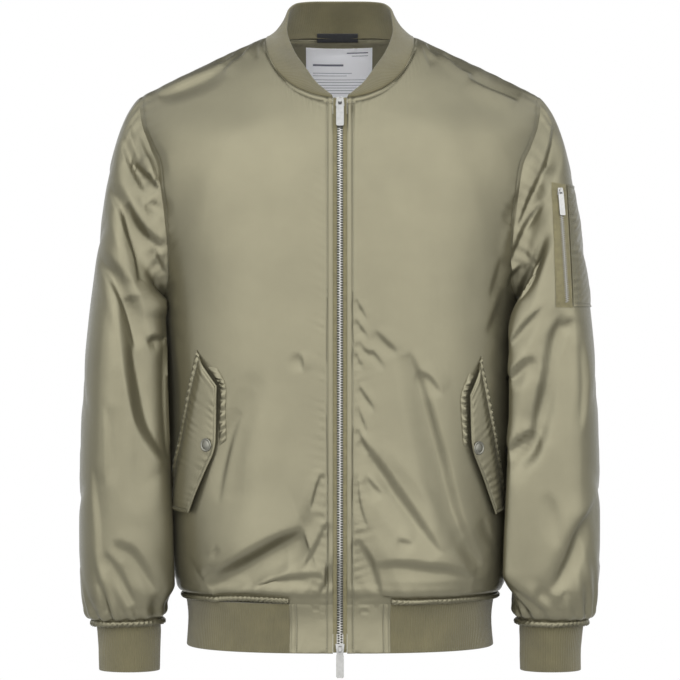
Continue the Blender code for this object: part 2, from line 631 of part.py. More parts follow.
class Panel:
    """A grid of cloth: its outer points, the way out at each, and its diagonals."""

    def __init__(self, points, out, closed=False, turned=None, ids=None):
        self.points, self.out, self.closed = points, out, closed
        self.index = np.arange(points.shape[0] * points.shape[1]).reshape(points.shape[:2])
        self.ids = self.index if ids is None else ids
        wide = points.shape[1] - (0 if closed else 1)
        self.turned = np.zeros((points.shape[0] - 1, wide), bool) if turned is None else turned

    def block(self, rows, cols):
        """The part of the grid between two rows and along a list of columns."""
        r0, r1 = rows
        part = slice(r0, r1 + 1)
        turned = self.turned[r0:r1][:, cols[:-1]]
        points, out = self.points[part][:, cols], self.out[part][:, cols]
        return Panel(points, out, False, turned, self.ids[part][:, cols])

    def tree(self):
        tris = triangles(self.index, self.closed, self.turned)
        return BVHTree.FromPolygons(self.points.reshape(-1, 3).tolist(), tris.tolist())


class Cloth:
    """All the sewn walls, which share the points of their seams."""

    def __init__(self):
        self.grids = {}
        self.closed = {}
        self.turned = {}

    def add(self, name, grid, closed=False):
        self.grids[name] = np.array(grid, float)
        self.closed[name] = closed

    def join(self):
        """One list of points, with each grid as indices into it."""
        stack = np.concatenate([g.reshape(-1, 3) for g in self.grids.values()])
        _, first, inverse = np.unique(
            np.round(stack, 6), axis=0, return_index=True, return_inverse=True
        )
        self.points = stack[first]
        self.index, start = {}, 0
        for name, grid in self.grids.items():
            count = grid.shape[0] * grid.shape[1]
            self.index[name] = inverse.reshape(-1)[start : start + count].reshape(grid.shape[:2])
            start += count

    def normals(self):
        total = np.zeros_like(self.points)
        for name, index in self.index.items():
            tris = triangles(index, self.closed[name], self.turned.get(name))
            corners = [self.points[tris[:, i]] for i in range(3)]
            facing = unit(np.cross(corners[1] - corners[0], corners[2] - corners[0]))
            for i in range(3):
                before = unit(corners[i - 1] - corners[i])
                after = unit(corners[(i + 1) % 3] - corners[i])
                angle = np.arccos(np.clip((before * after).sum(axis=1, keepdims=True), -1, 1))
                np.add.at(total, tris[:, i], facing * angle)
        return unit(total)

    def fold(self):
        self.points = self.points + self.normals() * fold_depth(self.points, self.normals())[:, None]

    def gather(self, name, amount):
        """Zigzag of the columns in the rows next to a rib that the cloth is gathered onto."""
        index = self.index[name]
        out = self.normals()
        count = index.shape[1]
        inner = range(count) if self.closed[name] else range(1, count - 1)
        for row, share in GATHER_ROWS:
            for c in inner:
                self.points[index[row, c]] += out[index[row, c]] * amount * share * (-1) ** c

    def finish(self):
        for name, index in self.index.items():
            self.turned[name] = flatter_diagonals(self.points[index], self.closed[name])
        self.out = self.normals()

    def panel(self, name):
        index = self.index[name]
        closed, turned = self.closed[name], self.turned[name]
        return Panel(self.points[index], self.out[index], closed, turned, index)


def border_loops(rows, cols, closed):
    """Rings of grid indices round a grid, clockwise as seen from outside."""
    index = np.arange(rows * cols).reshape(rows, cols)
    if closed:
        return [index[0], index[-1][::-1]]
    ring = [index[0, :-1], index[:-1, -1], index[-1, :0:-1], index[:0:-1, 0]]
    return [np.concatenate(ring)]


def trimmed(points, out, closed, amount=GAP / 2):
    """Shift of a grid's border towards its inside, square to the seam's own plane."""
    flat, normals = points.reshape(-1, 3), out.reshape(-1, 3)
    shift = np.zeros_like(flat)
    for ring in border_loops(*points.shape[:2], closed):
        along = unit(np.roll(flat[ring], -1, axis=0) - flat[ring])
        before = np.cross(np.roll(along, 1, axis=0), normals[ring])
        after = np.cross(along, normals[ring])
        before, after = unit(before), unit(after)
        square = 1 + (before * after).sum(axis=1, keepdims=True)
        shift[ring] = (before + after) / np.maximum(square, 0.5) * amount
    return shift.reshape(points.shape)


def slab(panel, top, bottom):
    """Closed mesh between two heights over a panel, as vertices and triangles.

    The ids of the points choose the diagonals of the border, so that two pieces which
    share a seam face each other with the same triangles.
    """
    points, out = panel.points, panel.out
    shift = trimmed(points, out, panel.closed)
    skin = triangles(panel.index, panel.closed, panel.turned)
    verts = np.concatenate([
        (points + shift + out * top).reshape(-1, 3),
        (points + shift + out * bottom).reshape(-1, 3),
    ])
    count = len(verts) // 2
    faces = [tuple(t) for t in skin] + [tuple(t[::-1] + count) for t in skin]
    ids = panel.ids.reshape(-1)
    for ring in border_loops(*points.shape[:2], panel.closed):
        for a, b in zip(ring, np.roll(ring, -1)):
            if ids[a] < ids[b]:
                faces += [(a, b, b + count), (a, b + count, a + count)]
            else:
                faces += [(a, b, a + count), (b, b + count, a + count)]
    return verts, faces


# ---------------------------------------------------------------- objects
def clear_scene():
    for thing in list(bpy.data.objects):
        bpy.data.objects.remove(thing, do_unlink=True)


def finish_material(name):
    colour, rough, metal = FINISHES[name]
    found = bpy.data.materials.new(name)
    found.use_nodes = True
    shader = found.node_tree.nodes["Principled BSDF"]
    shader.inputs["Base Color"].default_value = (*colour, 1)
    shader.inputs["Roughness"].default_value = rough
    shader.inputs["Metallic"].default_value = metal
    return found


def add_object(name, verts, faces, finish, origin=(0, 0, 0), sharp=40):
    mesh = bpy.data.meshes.new(name)
    origin = Vector(origin)
    mesh.from_pydata([Vector(v) - origin for v in verts], [], [tuple(map(int, f)) for f in faces])
    box = bmesh.new()
    box.from_mesh(mesh)
    bmesh.ops.recalc_face_normals(box, faces=box.faces[:])
    box.to_mesh(mesh)
    box.free()
    if sharp:
        mesh.shade_smooth()
        mesh.set_sharp_from_angle(angle=math.radians(sharp))
    thing = bpy.data.objects.new(name, mesh)
    thing.location = origin
    bpy.context.scene.collection.objects.link(thing)
    if finish:
        mesh.materials.append(finish_material(finish))
        thing.active_material.name = f"{finish}_{name}"
    return thing


def boolean(thing, cutter, operation):
    cutter.hide_render = True
    cutter.display_type = "WIRE"
    step = thing.modifiers.new(operation.title(), "BOOLEAN")
    step.operation = operation
    step.object = cutter
    step.solver = "EXACT"


def caps(count):
    """Faces of a prism whose two ends are rings of count points, one after the other."""
    faces = [tuple(range(count)), tuple(range(2 * count - 1, count - 1, -1))]
    return faces + [(i, i + count, (i + 1) % count + count, (i + 1) % count) for i in range(count)]


def prism(name, outline, direction, near, far):
    """Closed prism over a ring of points, from near to far along a direction."""
    direction = np.array(direction, float)
    ring = np.array(outline, float)
    verts = np.concatenate([ring + direction * near, ring + direction * far])
    return add_object(name, verts, caps(len(ring)), None)


def under_outline(panel, outline, direction):
    """The rows and columns of a panel that an outline covers, and one more all round."""
    side = unit(np.cross(direction, [0, 0, 1]))
    up = np.cross(side, direction)
    seen = np.stack([panel.points @ side, panel.points @ up], axis=-1)
    ring = np.stack([outline @ side, outline @ up], axis=-1)
    low, high = ring.min(axis=0) - OUTLINE_MARGIN, ring.max(axis=0) + OUTLINE_MARGIN
    inside = np.all((seen > low) & (seen < high), axis=-1) & (panel.out @ direction > 0.05)
    rows = np.where(inside.any(axis=1))[0]
    cols = np.where(inside.any(axis=0))[0]
    r0, r1 = max(rows[0] - 1, 0), min(rows[-1] + 1, panel.points.shape[0] - 1)
    c0, c1 = max(cols[0] - 1, 0), min(cols[-1] + 1, panel.points.shape[1] - 1)
    return panel.block((r0, r1), list(range(c0, c1 + 1)))


def applied(name, panel, outline, direction, low, high, finish):
    """A piece that lies on a panel: its points moved out, cut to an outline."""
    outline, direction = np.array(outline, float), np.array(direction, float)
    area = under_outline(panel, outline, direction)
    piece = add_object(name, *slab(area, high, low), finish)
    cutter = prism(name + "_outline", outline, direction, *OUTLINE_DEPTH)
    boolean(piece, cutter, "INTERSECT")
    return piece


def front_point(x, z):
    """Point of the body's front at a place in the front view."""
    place = edge([(x, z)], "front")
    return body_point(place[:, 0], place[:, 1], "front")[0]


def circle(radius, sides):
    turns = [2 * math.pi * k / sides for k in range(sides)]
    return [(radius * math.cos(turn), radius * math.sin(turn)) for turn in turns]


# ---------------------------------------------------------------- pockets
def snap_cap(name, place, out):
    """Turned cap of a press stud, standing on the flap."""
    out = Vector(out).normalized()
    frame = out.to_track_quat("Z", "Y").to_matrix()
    verts = [(0, 0, 0), (0, 0, SNAP_HEIGHT)]
    for radius, height in SNAP_PROFILE:
        verts += [(x, y, height) for x, y in circle(radius, SNAP_SIDES)]
    faces = []
    last = 2 + (len(SNAP_PROFILE) - 1) * SNAP_SIDES
    for k in range(SNAP_SIDES):
        n = (k + 1) % SNAP_SIDES
        faces += [(0, 2 + n, 2 + k), (1, last + k, last + n)]
        for first in range(2, last, SNAP_SIDES):
            a, b = first + k, first + n
            faces.append((a, b, b + SNAP_SIDES, a + SNAP_SIDES))
    verts = [frame @ Vector(v) + Vector(place) for v in verts]
    return add_object(name, verts, faces, "metal", sharp=50)


def add_pocket(cloth, side):
    word = "left" if side > 0 else "right"
    rows = POCKETS[side]
    panel = cloth.panel(f"front_{word}")
    corners = [front_point(side * x, z) for x, z in rows["flap"]]
    middle = np.mean(corners, axis=0)
    near = np.argmin(np.linalg.norm(panel.points - middle, axis=2))
    direction = unit(panel.out.reshape(-1, 3)[near] * np.array([1, 1, 0]))
    applied(f"pocket_flap_{word}", panel, corners, direction, GAP, GAP + FLAP, "shell")
    # the welt's inner side runs just beyond the flap's edge A-B-C
    a, b, c = corners[:3]
    outer = [front_point(side * x, z) for x, z in rows["welt"]]
    down = unit(c - b)
    beyond = unit(outer[1] - b - down * ((outer[1] - b) @ down)) * 2 * GAP
    inner = [a + (b - a) * FLAP_TO_WELT + beyond, b + beyond, c - down * OUTLINE_MARGIN + beyond]
    applied(f"pocket_welt_{word}", panel, inner + outer[::-1], direction, GAP, GAP + WELT, "shell")
    x, z = rows["snap"]
    tree = panel.tree()
    place, facing = touching(tree, front_point(side * x, z) + direction * 0.05, -direction)
    rise = seat_height(tree, place, facing, SNAP_RADIUS)
    snap_cap(f"snap_{word}", place + facing * (rise + 2 * GAP + FLAP), facing)


def touching(tree, start, direction):
    """Where a ray meets a panel's faces, and the facing there."""
    place, facing, _, _ = tree.ray_cast(Vector(start), Vector(direction).normalized())
    return np.array(place), np.array(facing)


def seat_height(tree, place, facing, reach):
    """Highest point of a panel along a direction, over rings round a place."""
    facing = Vector(facing).normalized()
    across = facing.orthogonal().normalized()
    aside = facing.cross(across)
    best = 0.0
    for i in range(16):
        angle = 2 * math.pi * i / 16
        for share in (0.33, 0.66, 1.0):
            away = (across * math.cos(angle) + aside * math.sin(angle)) * reach * share
            start = Vector(place) + away + facing * 0.02
            spot, _ = touching(tree, start, -facing)
            best = max(best, (Vector(spot) - Vector(place)).dot(facing))
    return best


# ---------------------------------------------------------------- zips
def zip_line(z):
    """The front zip's path, on the middle of the front."""
    z = np.asarray(z, float)
    return np.stack([np.zeros_like(z), -zip_depth(z), z], axis=-1)


def zip_normals(z, step=0.002):
    along = zip_line(z - step) - zip_line(z + step)
    return unit(np.stack([np.zeros_like(z), along[:, 2], -along[:, 1]], axis=-1))


def strip(x0, x1, z, low, high):
    """Wall along the zip between two distances from the middle."""
    path, out = zip_line(z), zip_normals(z)
    across = np.array([[x0, 0, 0], [x1, 0, 0]])
    points = path[:, None, :] + across[None, :, :]
    return slab(Panel(points, np.repeat(out[:, None, :], 2, axis=1)), high, low)


def add_front_zip():
    z = np.linspace(ZIP_TOP, ZIP_END, ZIP_CELLS + 1)
    for word, sign in (("left", 1), ("right", -1)):
        inner, outer = CHAIN_HALF + GAP, FRONT_EDGE - GAP / 2
        x0, x1 = (inner, outer) if sign > 0 else (-outer, -inner)
        add_object(f"zip_tape_{word}", *strip(x0, x1, z, TAPE_IN, -0.0002), "tape")
    top = ZIP_TOP - SLIDER_CROWN - GAP
    end = BOTTOM_SLIDER_TOP - SLIDER_LENGTH + SLIDER_CROWN + GAP
    z = np.linspace(top, end, ZIP_CELLS + 1)
    add_object("zip_chain", *strip(-CHAIN_HALF, CHAIN_HALF, z, CHAIN_IN, CHAIN_OUT), "metal")


def extruded(outline, half):
    """Solid from an outline of (out, down) points, across from -half(down) to +half."""
    verts = [(-half(d), n, d) for n, d in outline] + [(half(d), n, d) for n, d in outline]
    return verts, caps(len(outline))


def zip_frame(place, down, out):
    """Matrix from a zip's own frame (across, out, down) to the jacket's."""
    out = Vector(out).normalized()
    down = Vector(down)
    down = (down - out * down.dot(out)).normalized()
    across = out.cross(down)
    frame = Matrix((across, out, down)).transposed().to_4x4()
    frame.translation = Vector(place)
    return frame


def placed(frame, verts):
    return [frame @ Vector(v) for v in verts]


def brick(d0, d1, n0, n1):
    """Outline (out, down) of a plain block."""
    return [(n0, d0), (n1, d0), (n1, d1), (n0, d1)]


def slider_half(scale, narrow_at_top):
    """Half width of the slider along its length: narrow crown, full shoulders."""
    def half(d):
        share = np.clip(d / (SLIDER_LENGTH * scale), 0, 1)
        if not narrow_at_top:
            share = 1 - share
        wide = SLIDER_NARROW + (1 - SLIDER_NARROW) * float(smooth(share * 3.2))
        return SLIDER_HALF * scale * wide
    return half


def add_slider(name, frame, closed_up=True, solid=False, scale=1.0):
    """Slider body with the bridge that holds its pull.

    Two plates lie in front of the chain and behind it, joined by a post beyond the
    chain's end; a solid slider is the front plate alone, down to the tape.
    """
    length = SLIDER_LENGTH * scale
    top = (CHAIN_OUT + GAP + SLIDER_PLATE) * scale
    half = slider_half(scale, closed_up)
    pieces = []
    if solid:
        verts, faces = extruded(brick(0.0, length, GAP, top), half)
    else:
        verts, faces = extruded(brick(0.0, length, CHAIN_OUT + GAP, top), half)
        back = CHAIN_IN - GAP
        pieces.append((brick(0.0, length, back - SLIDER_PLATE, back), half))
        d0 = 2 * BITE if closed_up else length - SLIDER_CROWN
        post = brick(d0, d0 + SLIDER_CROWN - 2 * BITE, back - BITE, CHAIN_OUT + GAP + BITE)
        pieces.append((post, lambda d: CHAIN_HALF * 0.85))
    body = add_object(name, placed(frame, verts), faces, "metal", sharp=0)
    pin = PIN_DOWN * scale
    upper, lower = pin - BRIDGE_UP * scale, pin + BRIDGE_DOWN * scale
    thick = BRIDGE_THICK * scale
    high = top + BRIDGE_HIGH * scale
    root = top - BITE
    arch = [
        (root, upper), (high, upper), (high + thick, upper + thick),
        (high + thick, lower - thick), (high, lower), (root, lower),
        (root, lower - thick), (high, lower - thick), (high, upper + thick),
        (root, upper + thick),
    ]
    pieces.append((arch, lambda d: BRIDGE_HALF * scale))
    for i, (outline, width) in enumerate(pieces):
        verts, faces = extruded(outline, width)
        boolean(body, add_object(f"{name}_piece_{i}", placed(frame, verts), faces, None), "UNION")
    return body


def pin_place(scale=1.0):
    """Hinge of the pull in the zip's frame."""
    top = (CHAIN_OUT + GAP + SLIDER_PLATE) * scale
    return Vector((0, top + BRIDGE_HIGH * scale / 2, PIN_DOWN * scale))


def add_pull(name, frame, hang, scale=1.0, length=PULL_LENGTH, half=PULL_HALF):
    """Flat pull tab with an eye, hanging from a pin under the bridge."""
    origin = frame @ pin_place(scale)
    across = (frame.to_3x3() @ Vector((1, 0, 0))).normalized()
    down = Vector(hang)
    down = (down - across * down.dot(across)).normalized()
    out = down.cross(across)
    turned = Matrix((across, out, down)).transposed().to_4x4()
    turned.translation = origin
    thick = PULL_THICK * scale
    eye_half, eye_end = (BRIDGE_HALF + EYE_CLEAR) * scale, EYE_LENGTH * scale
    slim, corner = PIN_RADIUS * scale, PULL_CORNER * scale
    waist, flare = half * PULL_WAIST, eye_end + 0.003 * scale
    ring = [(-waist, -slim), (-waist, eye_end), (-half, flare),
            (-half, length - corner), (-half + corner, length), (half - corner, length),
            (half, length - corner), (half, flare), (waist, eye_end), (waist, -slim)]
    flat = [(x, -thick / 2, d) for x, d in ring] + [(x, thick / 2, d) for x, d in ring]
    pull = add_object(name, placed(turned, flat), caps(len(ring)), "metal", origin, sharp=0)
    start = slim * 0.2
    window = [(-eye_half, start), (-eye_half, eye_end), (eye_half, eye_end), (eye_half, start)]
    cut = [(x, -thick, d) for x, d in window] + [(x, thick, d) for x, d in window]
    boolean(pull, add_object(name + "_eye", placed(turned, cut), caps(4), None), "DIFFERENCE")
    bar = [(x, *spot) for x in (-waist, waist) for spot in circle(slim, PIN_SIDES)]
    boolean(pull, add_object(name + "_pin", placed(turned, bar), caps(PIN_SIDES), None), "UNION")
    return pull


# ---------------------------------------------------------------- the jacket
def build_cloth():
    cloth = Cloth()
    mirror = np.array([-1, 1, 1])
    front = front_grid()
    back = back_grid(front)
    cloth.add("front_left", front)
    cloth.add("front_right", (front * mirror)[:, ::-1])
    cloth.add("back", back)
    for word, side in (("left", 1), ("right", -1)):
        rings = sleeve_grid(front, back, side)
        cuff = cuff_grid(rings[-1])
        if side > 0:
            rings, cuff = rings[:, ::-1], cuff[:, ::-1]
        else:
            rings, cuff = rings * mirror, cuff * mirror
        cloth.add(f"sleeve_{word}", rings, closed=True)
        cloth.add(f"cuff_{word}", cuff, closed=True)
    cloth.add("collar", collar_grid(front, back))
    seam_left = front[-1]
    seam_right = (front[-1] * mirror)[::-1]
    faces = np.array(["front"] * (TAB_CELLS + 1))
    cloth.add("hem_tab_left", band(seam_left[: TAB_CELLS + 1], faces))
    cloth.add("hem_tab_right", band(seam_right[-TAB_CELLS - 1 :], faces))
    rest = seam_left[TAB_CELLS:]
    seam = np.concatenate([rest, back[-1][1:-1], seam_right[: -TAB_CELLS]])
    faces = np.array(["front"] * len(rest) + ["back"] * (back.shape[1] - 2) + ["front"] * len(rest))
    cloth.add("hem_rib", band(seam, faces))
    cloth.join()
    cloth.fold()
    for name in ("front_left", "front_right", "back"):
        cloth.gather(name, HEM_GATHER)
    for name in ("sleeve_left", "sleeve_right"):
        cloth.gather(name, CUFF_GATHER)
    cloth.finish()
    return cloth


def wall_depth(name, thick, points):
    """Thickness at each point: less at the underarm's sharp fold and the collar's ends."""
    if name == "collar":
        share = np.linspace(-1, 1, points.shape[1])[None, :, None]
        full = smooth((1 - np.abs(share)) / COLLAR_TAPER)
        return np.full((*points.shape[:2], 1), thick) * (0.5 + 0.5 * full)
    underarm = np.array([half_width(UNDERARM_Z), 0, UNDERARM_Z])
    away = np.linalg.norm(np.abs(points) * [1, 1, -1] - underarm, axis=-1, keepdims=True)
    return thick * (UNDERARM_THIN + (1 - UNDERARM_THIN) * smooth(away / UNDERARM_REACH))


WALLS = (
    ("front_left", SHELL, "shell"), ("front_right", SHELL, "shell"), ("back", SHELL, "shell"),
    ("cuff_left", RIB, "rib"), ("cuff_right", RIB, "rib"),
    ("collar", COLLAR, "rib"), ("hem_rib", RIB, "rib"),
    ("hem_tab_left", SHELL, "shell"), ("hem_tab_right", SHELL, "shell"),
)


def add_walls(cloth):
    for name, thick, finish in WALLS:
        panel = cloth.panel(name)
        add_object(name, *slab(panel, 0.0, -wall_depth(name, thick, panel.points)), finish)


def add_sleeves(cloth):
    """Each sleeve is cut in two: the under sleeve lies against the body."""
    for word in ("left", "right"):
        first, last = UNDER_SLEEVE
        if word == "left":       # its columns run the other way round
            first, last = AROUND - 1 - last, AROUND - 1 - first
        panel = cloth.panel(f"sleeve_{word}")
        rows = (0, panel.points.shape[0] - 1)
        under = list(range(first, last + 1))
        upper = [c % AROUND for c in range(last, first + AROUND + 1)]
        for name, cols in ((f"sleeve_{word}", upper), (f"under_sleeve_{word}", under)):
            piece = panel.block(rows, cols)
            add_object(name, *slab(piece, 0.0, -wall_depth(name, SHELL, piece.points)), "shell")


def add_inside(cloth):
    """Lining, label and hanger loop at the back of the neck."""
    cols = list(range(SHOULDER_CELLS + 1, SHOULDER_CELLS + 2 * NECK_CELLS))
    panel = cloth.panel("back").block((0, LINING_ROWS), cols)
    low = -SHELL - GAP
    add_object("back_lining", *slab(panel, low, low - LINING), "shell")
    (x0, x1), (z0, z1) = LABEL_BOX
    y = float(panel.points[:, :, 1].mean())
    box = [(x0, y, z0), (x1, y, z0), (x1, y, z1), (x0, y, z1)]
    lift = low - LINING - GAP
    applied("neck_label", panel, box, (0, 1, 0), lift - LABEL, lift, "label")
    x = np.linspace(*LOOP_ENDS, LOOP_CELLS + 1)
    seam = panel.points[0][::-1]
    y = np.interp(x, seam[:, 0], seam[:, 1]) - COLLAR - 0.0016
    z = np.interp(x, seam[:, 0], seam[:, 2])
    lean = math.radians(LOOP_LEAN)
    up = np.array([0.0, math.sin(lean), math.cos(lean)]) * LOOP_HIGH
    middle = np.stack([x, y, z], axis=-1)
    grid = np.stack([middle + up * LOOP_ABOVE, middle - up * (1 - LOOP_ABOVE)])
    facing = np.broadcast_to(np.array([0.0, -math.cos(lean), math.sin(lean)]), grid.shape)
    add_object("hanger_loop", *slab(Panel(grid, facing), LOOP_THICK, 0.0), "loop")


def add_sleeve_pocket(cloth):
    panel = cloth.panel("sleeve_left")
    points = panel.points
    ahead = (0, -1, 0)
    ring = [(x, -0.08, z) for x, z in SLEEVE_ZIP_TAPE]
    tape_top = GAP + WELT
    applied("sleeve_zip_tape", panel, ring, ahead, GAP, tape_top, "tape")
    (x0, z0), (x1, z1) = SLEEVE_CHAIN
    half = SLEEVE_CHAIN_HALF
    ring = [(x0 - half, -0.08, z0), (x0 + half, -0.08, z0)]
    ring += [(x1 + half, -0.08, z1), (x1 - half, -0.08, z1)]
    low = tape_top + GAP
    applied("sleeve_zip_chain", panel, ring, ahead, low, low + SLEEVE_CHAIN_THICK, "metal")
    # the patch runs from the tape round the outside of the sleeve
    (tx0, tz0), (tx1, tz1) = SLEEVE_ZIP_TAPE[1], SLEEVE_ZIP_TAPE[2]
    far, y0, y1 = 0.36, -0.14, SLEEVE_POCKET_BACK
    verts = []
    for x, z in ((tx1 + 2 * GAP, SLEEVE_POCKET_BOTTOM), (tx0 + 2 * GAP, SLEEVE_POCKET_TOP)):
        verts += [(x, y0, z), (far, y0, z), (far, y1, z), (x, y1, z)]
    cutter = add_object("sleeve_pocket_outline", verts, caps(4), None)
    first = ARM_CELLS + 4
    cols = [(first + i) % AROUND for i in range(ARM_CELLS + 3)]
    last = int(np.sum(points[:, :, 2].max(axis=1) > SLEEVE_POCKET_BOTTOM - 0.02)) - 1
    area = panel.block((0, last), cols)
    boolean(add_object("sleeve_pocket", *slab(area, GAP + WELT, GAP), "shell"), cutter, "INTERSECT")
    length = SLIDER_LENGTH * SLEEVE_SLIDER_SCALE
    tree = panel.tree()
    middle, _ = touching(tree, (x0, -0.3, z0 + GAP + length / 2), (0, 1, 0))
    low = (x0 + SLEEVE_PULL_DRIFT, -0.3, z0 - SLEEVE_PULL_LENGTH)
    below, _ = touching(tree, low, (0, 1, 0))
    down = unit(below - middle)
    facing = unit(np.cross(np.cross(down, SLEEVE_FACING), down))
    rise = seat_height(tree, middle, facing, length * 0.6)
    seat = middle + facing * (rise + tape_top) - down * length / 2
    frame = zip_frame(seat, down, facing)
    add_slider("sleeve_slider", frame, solid=True, scale=SLEEVE_SLIDER_SCALE)
    hang = down + facing * SLEEVE_PULL_LEAN
    size = (SLEEVE_SLIDER_SCALE, SLEEVE_PULL_LENGTH, SLEEVE_PULL_HALF)
    add_pull("sleeve_pull", frame, hang, *size)


def main():
    clear_scene()
    cloth = build_cloth()
    add_walls(cloth)
    add_sleeves(cloth)
    add_inside(cloth)
    for side in (1, -1):
        add_pocket(cloth, side)
    add_front_zip()
    for name, pull, top, closed_up in (
        ("top_slider", "top_pull", ZIP_TOP, True),
        ("bottom_slider", "bottom_pull", BOTTOM_SLIDER_TOP, False),
    ):
        spot = np.array([top - SLIDER_LENGTH / 2])
        out = zip_normals(spot)[0]
        down = Vector((0, -out[2], out[1])) if out[1] < 0 else Vector((0, 0, -1))
        middle = Vector(zip_line(spot)[0])
        frame = zip_frame(middle - down.normalized() * SLIDER_LENGTH / 2, down, out)
        add_slider(name, frame, closed_up)
        hang = down if closed_up else Vector((0, 0, -1))
        add_pull(pull, frame, hang)
    add_sleeve_pocket(cloth)


main()
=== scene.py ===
"""Looks of the zipped bomber jacket, on the frame that the CAD gives.

Metres, +Z up.  The front faces -Y and the wearer's left is +X.  The cloth is drawn on the
same surfaces as the CAD's walls, from the same tables, with finer grids: first broad folds,
most of them shallower than the solids', then creases, gathers and seams.
"""
import math

import bpy
import numpy as np
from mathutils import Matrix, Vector
from mathutils.bvhtree import BVHTree


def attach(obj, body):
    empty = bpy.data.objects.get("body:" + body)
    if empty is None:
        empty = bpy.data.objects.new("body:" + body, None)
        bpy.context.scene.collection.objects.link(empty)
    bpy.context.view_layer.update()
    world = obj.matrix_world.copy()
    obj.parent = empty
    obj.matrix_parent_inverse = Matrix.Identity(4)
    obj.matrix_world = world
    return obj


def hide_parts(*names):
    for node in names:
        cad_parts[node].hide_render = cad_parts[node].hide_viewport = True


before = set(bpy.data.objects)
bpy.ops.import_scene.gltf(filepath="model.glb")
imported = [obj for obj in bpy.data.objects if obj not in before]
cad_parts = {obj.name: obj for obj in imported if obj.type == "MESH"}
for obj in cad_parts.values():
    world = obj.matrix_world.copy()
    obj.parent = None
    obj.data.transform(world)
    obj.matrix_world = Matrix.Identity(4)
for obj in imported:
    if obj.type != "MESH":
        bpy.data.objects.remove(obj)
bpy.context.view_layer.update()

# ---------------------------------------------------------------- sizes, as in the CAD
GAP = 0.0003
SHELL = 0.0020
RIB = 0.0024
COLLAR = 0.0028
NECK_HALF = 0.085
NECK_DROP = 0.0765
NECK_RISE = 0.008
NECK_POWER = 2.1
SHOULDER_X = 0.231
SHOULDER_Z = -0.069
UNDERARM_Z = -0.310
SEAM_Z = -0.642
HEM_Z = -0.697
FRONT_EDGE = 0.0080
TAB_EDGE = 0.0565
ROUNDNESS = 2.4
NECK_SOFT = 0.025
ZIP_FLAT = math.radians(24)  # the front bends from the zip line to its own depth over this
MIRROR = np.array([-1, 1, 1])
SLOPE = -SHOULDER_Z / (math.hypot(SHOULDER_X, NECK_SOFT) - math.hypot(NECK_HALF, NECK_SOFT))

# Body sections: height, half width, depth of front, of back, and of the zip line.
BODY = (
    (-0.697, 0.1755, 0.1200, 0.1090, 0.1200),
    (-0.665, 0.1735, 0.1170, 0.1060, 0.1185),
    (-0.642, 0.1765, 0.1205, 0.1100, 0.1215),
    (-0.632, 0.1840, 0.1300, 0.1210, 0.1250),
    (-0.615, 0.1910, 0.1360, 0.1260, 0.1290),
    (-0.580, 0.1950, 0.1370, 0.1270, 0.1335),
    (-0.520, 0.1980, 0.1340, 0.1230, 0.1340),
    (-0.450, 0.2010, 0.1325, 0.1200, 0.1325),
    (-0.380, 0.2025, 0.1320, 0.1200, 0.1315),
    (-0.310, 0.2040, 0.1310, 0.1220, 0.1300),
    (-0.200, 0.2220, 0.1240, 0.1280, 0.1240),
    (-0.120, 0.2380, 0.1090, 0.1240, 0.1075),
    (-0.078, 0.2450, 0.0920, 0.1180, 0.0895),
    (-0.050, 0.2490, 0.0850, 0.1150, 0.0776),
    (0.010, 0.2560, 0.0750, 0.1190, 0.0520),
)
ROLL = {"front": (0.110, 0.150), "back": (0.100, 0.150)}  # drop and length of the roll

# Armhole seam: height, distance from the middle on the front and on the back.
ARMHOLE = (
    (-0.310, 0.2040, 0.2040),
    (-0.295, 0.1975, 0.2035),
    (-0.270, 0.1945, 0.2025),
    (-0.240, 0.1950, 0.2030),
    (-0.200, 0.2000, 0.2070),
    (-0.170, 0.2035, 0.2110),
    (-0.150, 0.2075, 0.2150),
    (-0.130, 0.2165, 0.2200),
    (-0.100, 0.2270, 0.2270),
    (-0.069, 0.2310, 0.2310),
)

# Sleeve stations: outer x and z, inner x and z, middle y and half depth.
SLEEVE = (
    (0.2310, -0.069, 0.2040, -0.3100, 0.000, 0.0650),
    (0.2460, -0.092, 0.2085, -0.3125, -0.001, 0.0670),
    (0.2585, -0.128, 0.2100, -0.3160, -0.003, 0.0700),
    (0.2675, -0.175, 0.2100, -0.3205, -0.006, 0.0730),
    (0.2745, -0.225, 0.2095, -0.3270, -0.009, 0.0750),
    (0.2810, -0.275, 0.2090, -0.3370, -0.012, 0.0760),
    (0.2870, -0.325, 0.2080, -0.3540, -0.015, 0.0760),
    (0.2920, -0.380, 0.2070, -0.3870, -0.018, 0.0750),
    (0.2950, -0.435, 0.2055, -0.4320, -0.021, 0.0730),
    (0.2965, -0.490, 0.2030, -0.4850, -0.024, 0.0710),
    (0.2970, -0.545, 0.2000, -0.5400, -0.027, 0.0670),
    (0.2965, -0.595, 0.1980, -0.5900, -0.029, 0.0620),
    (0.2940, -0.632, 0.1970, -0.6300, -0.030, 0.0570),
    (0.2905, -0.652, 0.1980, -0.6520, -0.030, 0.0500),
    (0.2860, -0.664, 0.2010, -0.6630, -0.030, 0.0420),
    (0.2775, -0.670, 0.2050, -0.6700, -0.030, 0.0330),
)
SLEEVE_POWER = 2.2
SLEEVE_CLEAR = 0.0045
EASE = (1.0, 0.50, 0.20, 0.06)       # how much of the armhole's shape the first stations keep
# The front of each sleeve laps over the body: how far, and the height over which that ends.
LAP = {1: (0.036, 0.05), -1: (0.006, 0.10)}
LAP_ANGLES = (118, 54)       # middle and half width of the lap, in degrees
TUCK_ANGLES = (148, 42)      # the same of the tuck behind the right sleeve's lap,
TUCK = 0.015                 # how far it goes in,
TUCK_UNDERARM = 0.007        # and how much further under the arm

